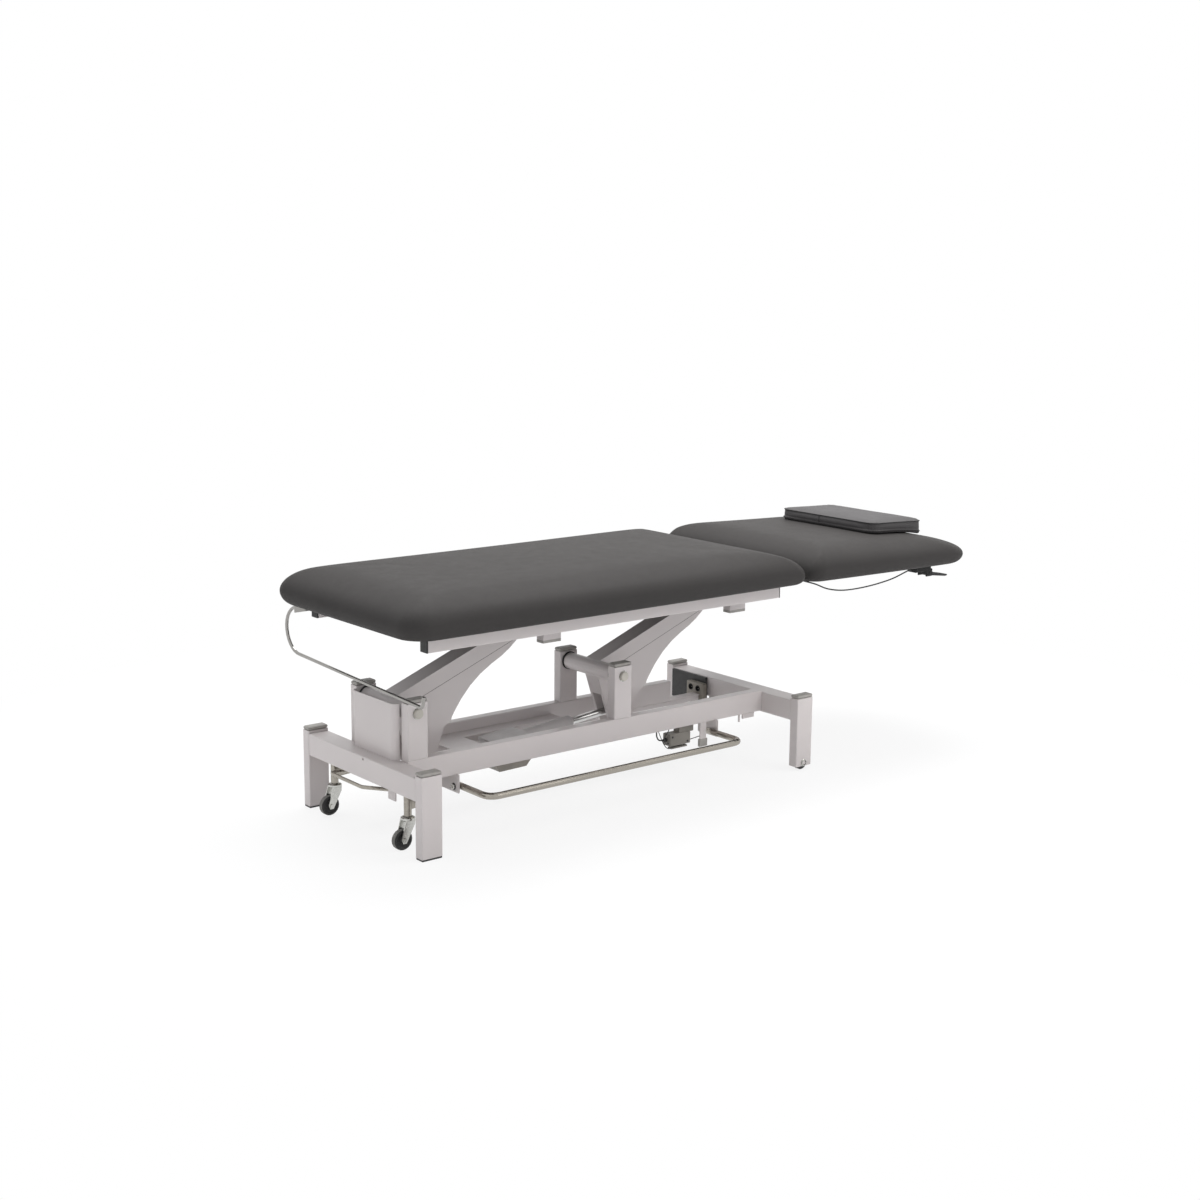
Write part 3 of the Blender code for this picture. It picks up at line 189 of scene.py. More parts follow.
def moulded(name, colour, fine=1500.0, roughness=(0.42, 0.6), strength=0.22):
    """Spark-eroded plastic: a fine even grain and faint flow marks."""
    look = Look(name, colour)
    tone = look.spread(look.noise(22.0, 3.0), 0.3, 0.7)
    dust = look.spread(look.noise(240.0, 4.0, 0.7), 0.62, 0.78)
    base = look.mix(tone, tint(colour, 0.86), tint(colour, 1.1))
    look.colour(look.mix(look.sum(dust, 0.22, "MULTIPLY"), base,
                         tuple(min(c * 1.7 + 0.015, 1.0) for c in colour)))
    look.roughness(look.noise(90.0, 2.0), *roughness)
    look.bump(look.noise(fine, 2.0, 0.6), strength, 0.00025)
    return look.made


def leather(name, colour, high, gloss=0.05):
    """Soft synthetic leather: pebbled grain, pores and a gentle mottle."""
    look = Look(name, colour, Specular_IOR_Level=gloss, Specular_Tint=(1.0, 0.955, 0.935, 1.0))
    bent = look.add("ShaderNodeVectorMath", {0: look.places}, operation="ADD")
    drift = look.add("ShaderNodeTexNoise", {"Vector": look.places, "Scale": 240.0, "Detail": 1.0})
    small = look.add("ShaderNodeVectorMath", {0: drift.outputs["Color"], "Scale": 0.0011},
                     operation="SCALE")
    look.put(bent, {1: small.outputs[0]})
    pebbles = look.cells(560.0, "DISTANCE_TO_EDGE", bent.outputs[0])
    creases = look.spread(pebbles, 0.0, 0.16)
    pores = look.noise(2100.0, 2.0, 0.6)
    tone = look.spread(look.noise(7.0, 4.0, 0.55), 0.28, 0.72)
    worn = look.spread(look.noise(1.7, 3.0, 0.5), 0.35, 0.7)
    base = look.mix(tone, tint(colour, 0.95), tint(colour, 1.04))
    base = look.mix(look.sum(worn, 0.4, "MULTIPLY"), base, high)
    look.colour(look.mix(creases, tint(colour, 0.72), base))
    look.roughness(look.noise(30.0, 4.0, 0.6), 0.50, 0.58)
    grain = look.sum(creases, look.sum(pores, 0.35, "MULTIPLY"))
    look.bump(grain, 0.30, 0.00035)
    look.bump(look.noise(26.0, 3.0, 0.5, None, 0.4), 0.03, 0.0020)
    return look.made


def drawn_steel(name, colour, along, roughness):
    """Polished tube: faint lines along its length and tiny handling marks."""
    look = Look(name, colour, 1.0)
    streaks = look.noise(1.0, 3.0, 0.6, look.stretched(along))
    cloud = look.noise(14.0, 3.0)
    tone = look.spread(streaks, 0.3, 0.7)
    look.colour(look.mix(tone, tint(colour, 0.80), tint(colour, 1.08)))
    look.roughness(look.sum(look.sum(streaks, cloud), 0.5, "MULTIPLY"), *roughness)
    look.bump(streaks, 0.05, 0.0002)
    return look.made


def plated(name, colour):
    """Bright zinc plate: a soft spangle and fine press lines."""
    look = Look(name, colour, 1.0)
    spangle = look.cells(150.0)
    lines = look.noise(1.0, 2.0, 0.5, look.stretched((60.0, 60.0, 900.0)))
    tone = look.spread(spangle, 0.1, 0.8)
    look.colour(look.mix(tone, tint(colour, 0.90), tint(colour, 1.06)))
    look.roughness(look.sum(look.sum(spangle, lines), 0.5, "MULTIPLY"), 0.16, 0.34)
    look.bump(look.noise(420.0, 2.0), 0.07, 0.0003)
    return look.made


def rubber_wheel(name, centre, hub, tread, split):
    """A wheel with a dark body and a worn grey tread, told apart by radius."""
    look = Look(name, hub, roughness=0.55)
    far = look.add("ShaderNodeVectorMath", {0: look.places, 1: centre}, operation="SUBTRACT")
    flat = look.add("ShaderNodeVectorMath", {0: far.outputs[0], 1: (1.0, 0.0, 1.0)},
                    operation="MULTIPLY")
    radius = look.add("ShaderNodeVectorMath", {0: flat.outputs[0]}, operation="LENGTH")
    outer = look.spread(radius.outputs["Value"], split - 0.0005, split + 0.0005)
    dust = look.spread(look.noise(160.0, 4.0, 0.65), 0.35, 0.7)
    rim = look.mix(dust, tint(tread, 0.75), tint(tread, 1.25))
    body = look.mix(dust, tint(hub, 0.8), tint(hub, 1.5))
    look.colour(look.mix(outer, body, rim))
    look.roughness(look.noise(110.0, 3.0), 0.45, 0.75)
    look.bump(look.noise(700.0, 2.0), 0.3, 0.0003)
    return look.made


def felt(name, colour):
    """Black dust cover under a cushion: pressed fibres."""
    look = Look(name, colour, roughness=0.85)
    fibres = look.noise(520.0, 5.0, 0.75, None, 1.5)
    cloud = look.noise(18.0, 3.0)
    look.colour(look.mix(look.spread(look.sum(fibres, cloud, "MULTIPLY"), 0.12, 0.4),
                         tint(colour, 0.6), tint(colour, 1.7)))
    look.roughness(fibres, 0.75, 0.95)
    look.bump(fibres, 0.35, 0.0005)
    return look.made


PAINT = (0.596, 0.553, 0.549)
PAINT_WARM = (0.614, 0.570, 0.559)
GREY = (0.340, 0.325, 0.303)
STAINLESS = (0.37, 0.345, 0.305)
POLISH = (0.10, 0.26)
white_paint = powder_coat("white_powder_coat", PAINT, PAINT_WARM)
grey_plastic = moulded("grey_moulded_plastic", GREY)
black_plastic = moulded("black_moulded_plastic", (0.016, 0.016, 0.016))
beige_plastic = moulded("beige_moulded_plastic", (0.300, 0.262, 0.215))
switch_plastic = moulded("switch_moulded_plastic", (0.205, 0.190, 0.168))
upholstery = leather("grey_synthetic_leather", (0.0560, 0.0531, 0.0518),
                     (0.0602, 0.0571, 0.0560))
# The pillow's leather is a copy of the cushions' leather. Its lighter colour is painted light that
# stands in for the brighter top of the pillow, and its higher gloss is its own
pillow_leather_painted_light = leather("pillow_synthetic_leather_painted_light", (0.0625, 0.0597, 0.0614),
                         (0.0680, 0.0647, 0.0670), 0.36)
piping_look = leather("piping_synthetic_leather", (0.050, 0.0485, 0.0490),
                      (0.054, 0.0525, 0.0530))
bar_steel = drawn_steel("polished_stainless_along", STAINLESS, (4.0, 520.0, 520.0), POLISH)
hook_steel = drawn_steel("polished_stainless_across", (0.36, 0.350, 0.335), (520.0, 4.0, 520.0),
                         POLISH)
rod_steel = drawn_steel("ground_steel", (0.60, 0.60, 0.59), (6.0, 620.0, 620.0), (0.12, 0.24))
zinc = plated("bright_zinc", (0.54, 0.54, 0.515))
black_coat = moulded("black_coated_steel", (0.020, 0.020, 0.021), 900.0, (0.32, 0.5), 0.12)
dust_cover = felt("black_dust_cover", (0.018, 0.018, 0.018))
# Painted shadow: a dark line material standing in for the shaded step where an arm's tube meets
# its gusset
arm_shadow_line_look = moulded("painted_shadow_line", (0.085, 0.078, 0.074), 900.0, (0.5, 0.7), 0.1)
sheath = moulded("black_cable_sheath", (0.022, 0.022, 0.022), 1100.0, (0.38, 0.55), 0.12)

FINISH = {"white_paint": white_paint, "grey_cap": grey_plastic, "black_plastic": black_plastic,
          "upholstery": upholstery, "board": dust_cover, "black_metal": black_coat,
          "polished_steel": rod_steel, "housing": beige_plastic,
          "switch_plastic": switch_plastic, "cord_black": sheath, "stainless": bar_steel,
          "zinc": zinc, "wheel_rubber": black_plastic}


def dress(obj, look):
    """Gives a CAD node one material."""
    obj.data.materials.clear()
    obj.data.materials.append(look)


for part in frame["record"]["subparts"]:
    dress(nodes[part["node"]], FINISH[part["material_slot"]])
dress(nodes["paper_bar"], hook_steel)
dress(nodes["caster_carrier"], drawn_steel("plated_steel_carrier", STAINLESS,
                                           (180.0, 30.0, 180.0), (0.2, 0.38)))


def two_tone(name, axis, place, low, high, fine=1300.0):
    """One moulding in two plastics that meet at a place on an axis."""
    look = Look(name, low, roughness=0.5)
    split = look.spread(look.axis(axis), place - 0.0003, place + 0.0003)
    tone = look.spread(look.noise(24.0, 3.0), 0.3, 0.7)
    first = look.mix(tone, tint(low, 0.86), tint(low, 1.12))
    second = look.mix(tone, tint(high, 0.9), tint(high, 1.08))
    look.colour(look.mix(split, first, second))
    look.roughness(look.noise(90.0, 2.0), 0.4, 0.6)
    look.bump(look.noise(fine, 2.0, 0.6), 0.2, 0.00025)
    return look.made


# Where two plastics or paints meet, where the control box's black back plate is painted shade, and
# where a caster's tread begins
CONTROL_SPLIT_X = HEAD_LEG_X - 0.0087 - CENTRE_X
ACTUATOR_SPLIT_Z = 0.1665
HANGER_SPLIT_Z = 0.4620
TREAD_R = 0.0254

# The control box's near-black half past CONTROL_SPLIT_X is painted shade: a black back plate
# standing in for the shaded recess behind the beige housing
dress(nodes["control_box"], two_tone("control_housing_and_shade_plate", "X", CONTROL_SPLIT_X,
                                     (0.215, 0.195, 0.165), (0.014, 0.014, 0.014)))
dress(nodes["actuator_body"], two_tone("actuator_housing", "Z", ACTUATOR_SPLIT_Z,
                                       (0.310, 0.285, 0.250), (0.500, 0.475, 0.470)))
for end in ("foot", "mid"):
    dress(nodes[end + "_hanger"], two_tone(end + "_hanger_paint", "Z", HANGER_SPLIT_Z,
                                           GREY, PAINT, 620.0))
for side, _ in SIDES:
    low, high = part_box("caster_wheel_" + side)
    middle = tuple((low[i] + high[i]) / 2 for i in range(3))
    dress(nodes["caster_wheel_" + side],
          rubber_wheel("caster_wheel_rubber_" + side, middle, (0.008, 0.008, 0.008),
                       (0.160, 0.155, 0.145), TREAD_R))


# Mesh helpers
FINE_STEPS = 24
TUBE_SMOOTHNESS = 4


def piece(name, bm, look, body, smooth=None):
    """The mesh becomes an object that rides on a CAD body."""
    bmesh.ops.recalc_face_normals(bm, faces=bm.faces)
    mesh = bpy.data.meshes.new(name)
    bm.to_mesh(mesh)
    bm.free()
    obj = bpy.data.objects.new(name, mesh)
    scene.collection.objects.link(obj)
    mesh.materials.append(look)
    if smooth is not None:
        mesh.shade_smooth()
        if smooth < 180:
            mesh.set_sharp_from_angle(angle=math.radians(smooth))
    if body:
        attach(obj, body)
    return obj


def smooth_path(points, count):
    """Evenly spread points on a soft curve through the given ones."""
    points = [Vector(p) for p in points]
    through = [points[0] * 2 - points[1]] + points + [points[-1] * 2 - points[-2]]
    fine = []
    for i in range(1, len(through) - 2):
        p0, p1, p2, p3 = through[i - 1:i + 3]
        for k in range(FINE_STEPS):
            t = k / FINE_STEPS
            fine.append(0.5 * (p1 * 2 + (p2 - p0) * t
                               + (p0 * 2 - p1 * 5 + p2 * 4 - p3) * t * t
                               + (p1 * 3 - p0 - p2 * 3 + p3) * t ** 3))
    fine.append(points[-1])
    run = [0.0]
    for a, b in zip(fine, fine[1:]):
        run.append(run[-1] + (b - a).length)
    spread = []
    k = 0
    for i in range(count):
        want = run[-1] * i / (count - 1)
        while k < len(run) - 2 and run[k + 1] < want:
            k += 1
        part = (want - run[k]) / max(run[k + 1] - run[k], 1e-9)
        spread.append(fine[k].lerp(fine[k + 1], min(max(part, 0.0), 1.0)))
    return spread


def bridge(bm, rings):
    """Faces between each ring of points and the next one."""
    for low, high in zip(rings, rings[1:]):
        for k in range(len(low)):
            m = (k + 1) % len(low)
            bm.faces.new((low[k], low[m], high[m], high[k]))


def tube_curve(name, points, radius, look, body, closed=False):
    """A round tube along a line of points."""
    data = bpy.data.curves.new(name, "CURVE")
    data.dimensions = "3D"
    data.bevel_depth = radius
    data.bevel_resolution = TUBE_SMOOTHNESS
    data.use_fill_caps = not closed
    line = data.splines.new("POLY")
    line.points.add(len(points) - 1)
    line.use_cyclic_u = closed
    for p, here in zip(line.points, points):
        p.co = (*here, 1.0)
    line.use_smooth = True
    data.materials.append(look)
    obj = bpy.data.objects.new(name, data)
    scene.collection.objects.link(obj)
    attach(obj, body)
    return obj


# Cords: the release cable under the head section and the switch lead. The
# cable runs from the release handle to the stop at the gas spring's valve.
CORD_R = 0.002
MAIN_X = (-0.058, 1.2675)
HEAD_X = (1.2835, 1.986)
HINGE_X = (MAIN_X[1] + HEAD_X[0]) / 2
CUSHION_HALF = 0.334
CUSHION_Z = 0.552 + GAP
release_x = HEAD_X[1] - 0.221
release_y = -(CUSHION_HALF - 0.076)
cable_z = CUSHION_Z - 0.0193
stop_x = HINGE_X + 0.060
stop_y = CUSHION_HALF - 0.099 - 0.045 - 0.040
route = [(release_x - 2 * GAP, release_y - 0.004, cable_z),
         (release_x - 0.015, release_y - 0.004, cable_z)]
for f, y, z in ((0.9285, -0.006, -0.004), (0.7855, -0.012, -0.017), (0.5812, -0.018, -0.025),
                (0.3769, -0.021, -0.025), (0.2339, -0.021, -0.014), (0.1318, -0.018, 0.005)):
    route.append((HINGE_X + (release_x - HINGE_X) * f, release_y + y, cable_z + z))
route += [(stop_x - 0.0085, release_y + 0.003, cable_z + 0.010),
          (stop_x - 0.0055, release_y + 0.038, cable_z + 0.010),
          (stop_x + 0.0025, release_y + 0.138, cable_z + 0.009),
          (stop_x + 0.0055, stop_y - 0.130, cable_z + 0.008),
          (stop_x + 0.0060, stop_y - 0.040, cable_z + 0.0075),
          (stop_x + 0.0060, stop_y - 0.020, cable_z + 0.0075),
          (stop_x + 0.0060, stop_y - 2 * GAP, cable_z + 0.0075)]
cable_points = smooth_path([at(*p) for p in route], 160)
cable = tube_curve("release_cable_sheath", cable_points, CORD_R, sheath, "head_section")
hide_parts("release_cable")

route = [(0.930 - 2 * GAP, -0.112, 0.114), (0.920, -0.112, 0.114), (0.900, -0.116, 0.119),
         (0.890, -0.119, 0.131), (0.888, -0.120, 0.141), (0.888, -0.120, 0.149 - 2 * GAP)]
lead_points = smooth_path([at(*p) for p in route], 40)
lead = tube_curve("switch_lead_sheath", lead_points, CORD_R, sheath, "base")
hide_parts("switch_lead")


# Cushions
SAME_ROW = 3e-6
SMALLEST_CORNER = 0.012


def outline(x0, x1, half, r0, r1, arc, long_steps, short_steps):
    """A rounded oblong in plan, with its own corner radius at each end."""
    corners = [(x0 + r0, -half + r0, r0, 180), (x1 - r1, -half + r1, r1, 270),
               (x1 - r1, half - r1, r1, 0), (x0 + r0, half - r0, r0, 90)]
    points = []
    for n, (cx, cy, r, turn) in enumerate(corners):
        for i in range(arc + 1):
            a = math.radians(turn + 90 * i / arc)
            points.append((cx + r * math.cos(a), cy + r * math.sin(a)))
        nx, ny, nr, nturn = corners[(n + 1) % 4]
        a = math.radians(nturn)
        sx, sy = points[-1]
        ex, ey = nx + nr * math.cos(a), ny + nr * math.sin(a)
        steps = long_steps if n % 2 == 0 else short_steps
        for i in range(1, steps):
            t = i / steps
            points.append((sx + (ex - sx) * t, sy + (ey - sy) * t))
    return points


def fill_net(bm, loop, steps, height=None):
    """Closes a loop that is alike on both sides with an even net across."""
    rows = []
    for v in sorted(loop, key=lambda v: v.co.x):
        if not rows or v.co.x - rows[-1][0].co.x > SAME_ROW:
            rows.append([])
        rows[-1].append(v)
    net = []
    for row in rows:
        row.sort(key=lambda v: v.co.y)
        if len(row) == 2:
            near, far = row
            row = [near]
            for k in range(1, steps):
                v = bm.verts.new(near.co.lerp(far.co, k / steps))
                if height:
                    v.co.z = height(v.co)
                row.append(v)
            row.append(far)
        net.append(row)
    for near, far in zip(net, net[1:]):
        for k in range(steps):
            bm.faces.new((near[k], near[k + 1], far[k + 1], far[k]))


class Padded:
    """The rings of a padded block, as in part.py but with far more points."""

    def __init__(self, xs, half, radii, z0, top, ends, crown, taper=0.0, wave=None, lean=None,
                 steps=(14, 56, 26), square=2.0, dents=None):
        self.xs, self.half, self.radii = xs, half, radii
        self.z0, self.top, self.ends, self.crown = z0, top, ends, crown
        self.taper, self.wave, self.lean, self.steps = taper, wave, lean, steps
        self.square, self.dents = square, dents

    def inset(self, z, tuck, bulge, run):
        p = self.square
        below = (self.z0 + bulge - z) / bulge
        if below >= 0:
            return tuck * (1 - max(1 - min(below, 1.0) ** p, 0.0) ** (1 / p))
        above = min((z - self.z0 - bulge) / (self.top - self.z0 - bulge), 1.0)
        return run * (1 - max(1 - above ** p, 0.0) ** (1 / p))

    def ring(self, z, more=0.0, rim=0.0):
        d0, d1, ds = [self.inset(z, *end) + more + rim for end in self.ends]
        shrink = ds if z > self.z0 + self.ends[2][1] else rim
        r0, r1 = [max(radius - shrink, SMALLEST_CORNER) for radius in self.radii]
        made = []
        for x, y in outline(self.xs[0] + d0, self.xs[1] - d1, self.half - ds, r0, r1,
                            *self.steps):
            f = (x - self.xs[0]) / (self.xs[1] - self.xs[0])
            up = min((z - self.z0) / (self.top - self.z0), 1.0)
            lift = self.wave(x) * up if self.wave else 0.0
            lift += self.lean(x) if self.lean else 0.0
            made.append(at(x, y * (1 - self.taper * f * f), z + lift))
        return made

    def rings(self, low_steps=9, high_steps=14, cap_steps=7):
        widest = self.ends[2][1]
        made = []
        for i in range(low_steps + 1):
            a = math.radians(90 * i / low_steps)
            made.append(self.ring(self.z0 + widest * (1 - math.cos(a))))
        for i in range(1, high_steps + 1):
            t = math.radians(90 * i / high_steps)
            z = self.z0 + widest + (self.top - self.z0 - widest) * math.sin(t)
            made.append(self.ring(z))
        flat = min(self.half - self.ends[2][2],
                   (self.xs[1] - self.xs[0] - self.ends[0][2] - self.ends[1][2]) / 2)
        for i in range(1, cap_steps + 1):
            ring = self.ring(self.top, flat * 0.55 * i / cap_steps)
            for p in ring:
                p.z = self.roof(p)
            made.append(ring)
        return made

    def roof(self, p):
        """Height of the crowned top over a place on it."""
        x = p.x + CENTRE_X
        f = (x - self.xs[0]) / (self.xs[1] - self.xs[0])
        x0, x1 = self.xs[0] + self.ends[0][2], self.xs[1] - self.ends[1][2]
        u = (2 * x - x0 - x1) / (x1 - x0)
        v = p.y / (1 - self.taper * f * f) / (self.half - self.ends[2][2])
        inner = max(1 - u * u, 0.0) * max(1 - v * v, 0.0)
        z = self.top + self.crown * inner
        z += self.dents(x, p.y) * inner if self.dents else 0.0
        z += self.wave(x) if self.wave else 0.0
        return z + (self.lean(x) if self.lean else 0.0)


def block(form, rings):
    """The closed skin of a padded form over its rings."""
    bm = bmesh.new()
    loops = [[bm.verts.new(p) for p in ring] for ring in rings]
    bridge(bm, loops)
    fill_net(bm, loops[0], form.steps[2])
    fill_net(bm, loops[-1], form.steps[2], form.roof)
    return bm


def puff(obj, held, slack, cap, pressure=4.0, frames=20):
    """Draws the form in a little and lets cloth under pressure fill it again.

    held gives, for a point, how firmly the foam keeps it (1 is fixed). No
    point moves more than cap from the drawn-in form.
    """
    mesh = obj.data
    firm = [min(max(held(v.co), 0.0), 1.0) for v in mesh.vertices]
    for v, normal, f in zip(mesh.vertices, [n.vector.copy() for n in mesh.vertex_normals], firm):
        v.co -= normal * slack * (1 - f)
    start = [v.co.copy() for v in mesh.vertices]
    pins = obj.vertex_groups.new(name="held")
    for i, f in enumerate(firm):
        if f > 0:
            pins.add([i], f, "REPLACE")
    cloth = obj.modifiers.new("padding", "CLOTH")
    rules = cloth.settings
    rules.quality = 6
    rules.mass = 0.25
    rules.tension_stiffness = 18
    rules.compression_stiffness = 18
    rules.shear_stiffness = 6
    rules.bending_stiffness = 1.2
    rules.use_pressure = True
    rules.uniform_pressure_force = pressure
    rules.vertex_group_mass = "held"
    rules.effector_weights.gravity = 0
    cloth.point_cache.frame_start = 1
    cloth.point_cache.frame_end = frames
    for step in range(1, frames + 1):
        scene.frame_set(step)
    seen = obj.evaluated_get(bpy.context.evaluated_depsgraph_get()).to_mesh()
    moved = [v.co.copy() for v in seen.vertices]
    obj.modifiers.remove(cloth)
    scene.frame_set(1)
    for v, a, b in zip(mesh.vertices, start, moved):
        step = b - a
        if step.length > 1e-7:
            step *= cap * math.tanh(step.length / cap) / step.length
        v.co = a + step
    obj.vertex_groups.remove(pins)
    mesh.update()


def soften(obj):
    """One round of subdivision over a padded skin."""
    step = obj.modifiers.new("soft", "SUBSURF")
    step.levels = 1
    step.render_levels = 1
    obj.data.shade_smooth()


TUCK, JOINT_TUCK = 0.030, 0.010
BULGE, JOINT_BULGE = 0.036, 0.014
BOARD_T, BOARD_INSET = 0.012, 0.010
HEAD_TOP, HEAD_CROWN = 0.641, 0.003
HEAD_DROP, HEAD_SAG, HEAD_TAPER = 0.026, 0.012, 0.05
HEAD_END = (0.018, 0.024, 0.260)
# The foam holds the skin fully up to a share of its height, and least above another
FOAM, FIRM_TO, LOOSE_FROM = 0.15, 0.45, 0.85
SLACK = 0.004


def head_lean(x):
    return HEAD_DROP * (0.45 - (x - HEAD_X[0]) / (HEAD_X[1] - HEAD_X[0]))


def head_sag(x):
    return -HEAD_SAG * (x - HEAD_X[0]) / (HEAD_X[1] - HEAD_X[0])


def head_rise(x):
    return head_lean(x) - head_sag(x)


def head_fall(x):
    t = max((x - HEAD_X[1]) / HEAD_END[2] + 1, 0.0)
    return (HEAD_TOP - CUSHION_Z - HEAD_END[1]) * (1 - math.sqrt(1 - t * t))


def pillow_rest(x):
    return head_lean(x) - head_fall(x)


def upholster(name, node, body, form, cap):
    """A cushion with its folded-in rim under the edge, round its board."""
    rings = form.rings()
    inner = BOARD_INSET - GAP
    rim = [form.ring(form.z0, 0.0, inner * f) for f in (1.0, 0.66, 0.33)]
    deep = [p + Vector((0, 0, BOARD_T + GAP)) for p in rim[0]]
    bm = block(form, [deep] + rim + rings)
    obj = piece(name, bm, upholstery, body, 180)

    def held(p):
        x = p.x + CENTRE_X
        rise = p.z - form.z0 - (form.lean(x) if form.lean else 0.0)
        depth = form.top - form.z0 + (form.wave(x) if form.wave else 0.0)
        share = (rise / depth - FIRM_TO) / (LOOSE_FROM - FIRM_TO)
        return max(1.0 - (1.0 - FOAM) * share, FOAM)

    puff(obj, held, SLACK, cap)
    soften(obj)
    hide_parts(node)


main_form = Padded(MAIN_X, CUSHION_HALF, (0.065, 0.045), CUSHION_Z, 0.653,
                   ((TUCK, BULGE, 0.135), (JOINT_TUCK, JOINT_BULGE, 0.180), (TUCK, BULGE, 0.100)),
                   0.006)
head_form = Padded(HEAD_X, CUSHION_HALF, (0.040, 0.095), CUSHION_Z, HEAD_TOP,
                   ((JOINT_TUCK, JOINT_BULGE, 0.110), HEAD_END, (TUCK, BULGE, 0.100)),
                   HEAD_CROWN, HEAD_TAPER, head_rise, head_sag)
upholster("main_upholstery", "main_cushion", "top_frame", main_form, 0.0055)
upholster("head_upholstery", "head_cushion", "head_section", head_form, 0.0036)

# Pillow: a flat box pad with a seam round its upper and lower edge
PILLOW_X = (HEAD_X[1] - 0.331, HEAD_X[1] - 0.099)
PILLOW_Z = HEAD_TOP + 0.62 * HEAD_CROWN + GAP
PILLOW_T, PILLOW_CROWN, PILLOW_R = 0.038, 0.003, 0.034
PILLOW_HALF = CUSHION_HALF - 0.137
PILLOW_EDGE = (0.007, 0.013, 0.014)
WELTS = (0.0070, 0.0310)
WELT_R = 0.0011
WELT_HOLD = 0.0035
FLAT_BELOW = 0.0045
SEAM_Y, SEAM_R, SEAM_STEPS = 0.025, 0.0008, 8


def pillow_dents(x, y):
    """Shallow hollows that a flat pad gets from use."""
    across = math.sin(17.0 * y + 0.8) * math.cos(15.0 * (x - PILLOW_X[0]))
    return -0.0016 + 0.0022 * across + 0.0010 * math.sin(38.0 * y - 21.0 * x)


pillow_form = Padded(PILLOW_X, PILLOW_HALF, (PILLOW_R, PILLOW_R), PILLOW_Z,
                     PILLOW_Z + PILLOW_T, (PILLOW_EDGE,) * 3, PILLOW_CROWN, 0.0, head_fall,
                     pillow_rest, (8, 28, 44), 2.6, pillow_dents)
pillow = piece("pillow_cover", block(pillow_form, pillow_form.rings(8, 12, 6)), pillow_leather_painted_light,
               "pillow", 180)


def pillow_held(p):
    """Firm on its underside and along both seams, free elsewhere."""
    x = p.x + CENTRE_X
    rise = p.z - PILLOW_Z - pillow_rest(x)
    height = rise * PILLOW_T / (PILLOW_T + head_fall(x))
    if height < FLAT_BELOW:
        return 1.0
    return max(1.0 - abs(height - w) / WELT_HOLD for w in WELTS)


puff(pillow, pillow_held, 0.0030, 0.0040)
soften(pillow)
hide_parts("pillow")
for n, height in enumerate(WELTS):
    welt = tube_curve("pillow_welt_%d" % n, pillow_form.ring(PILLOW_Z + height), WELT_R,
                      piping_look, "pillow", True)
seam = []
for k in range(SEAM_STEPS + 1):
    height = WELTS[0] + (WELTS[1] - WELTS[0]) * k / SEAM_STEPS
    ring = pillow_form.ring(PILLOW_Z + height)
    near = min(ring, key=lambda q: abs(q.y - SEAM_Y) + abs(q.x - PILLOW_X[0] + CENTRE_X))
    seam.append(Vector((near.x, SEAM_Y, near.z)))
tube_curve("pillow_side_seam", seam, SEAM_R, piping_look, "pillow")


# Small parts
def axes(along):
    """A unit vector along a direction, and two across it."""
    along = Vector(along).normalized()
    side = along.orthogonal().normalized()
    return along, side, along.cross(side)


def lathe(name, profile, start, along, look, body, sides=28, closed=False):
    """A turned piece from (distance, radius) pairs; closed joins last to first."""
    along, side, other = axes(along)
    bm = bmesh.new()
    rings = []
    for d, r in profile:
        here = start + along * d
        if r < 1e-6:
            rings.append([bm.verts.new(here)])
            continue
        turns = [2 * math.pi * k / sides for k in range(sides)]
        rings.append([bm.verts.new(here + (side * math.cos(a) + other * math.sin(a)) * r)
                      for a in turns])
    pairs = list(zip(rings, rings[1:])) + ([(rings[-1], rings[0])] if closed else [])
    for low, high in pairs:
        for k in range(sides):
            m = (k + 1) % sides
            corners = [low[k % len(low)], low[m % len(low)],
                       high[m % len(high)], high[k % len(high)]]
            corners = list(dict.fromkeys(corners))
            if len(corners) > 2:
                bm.faces.new(corners)
    piece(name, bm, look, body, 35)


def washer(name, start, along, inner, outer, thick, look, body):
    """A flat ring with broken outer edges."""
    edge = thick * 0.3
    lathe(name, [(0, inner), (0, outer - edge), (edge, outer), (thick - edge, outer),
                 (thick, outer - edge), (thick, inner)], start, along, look, body, 36, True)


def nut(name, start, along, flats, hole, height, look, body):
    """A hexagon nut with chamfered corners round a bolt end."""
    along, side, other = axes(along)
    bm = bmesh.new()
    count = 36
    rings = []
    for d, shape in ((0.0, "in"), (0.0, "hex"), (height * 0.8, "hex"), (height, "round"),
                     (height, "in")):
        ring = []
        for k in range(count):
            a = 2 * math.pi * k / count
            turn = (a + math.pi / 6) % (math.pi / 3) - math.pi / 6
            hexagon = flats / 2 / math.cos(turn)
            r = {"in": hole, "hex": hexagon, "round": min(hexagon, flats * 0.5)}[shape]
            ring.append(bm.verts.new(start + along * d
                                     + (side * math.cos(a) + other * math.sin(a)) * r))
        rings.append(ring)
    bridge(bm, rings + rings[:1])
    piece(name, bm, look, body, 25)


def sleeve(name, outer, inner, zs, look, body):
    """A short rectangular collar round a flat bar."""
    bm = bmesh.new()
    rings = []
    for (x0, x1, y0, y1), z in ((inner, zs[0]), (outer, zs[0]), (outer, zs[1]), (inner, zs[1])):
        corners = ((x0, y0), (x1, y0), (x1, y1), (x0, y1))
        rings.append([bm.verts.new(at(x, y, z)) for x, y in corners])
    bridge(bm, rings + rings[:1])
    round_off = piece(name, bm, look, body, 30).modifiers.new("edges", "BEVEL")
    round_off.width = 0.0006
    round_off.segments = 2


def bar(name, rows, look, body, smooth):
    """A closed strip over rows of points."""
    bm = bmesh.new()
    rings = [[bm.verts.new(p) for p in row] for row in rows]
    bridge(bm, rings)
    bm.faces.new(rings[0])
    bm.faces.new(rings[-1])
    return piece(name, bm, look, body, smooth)


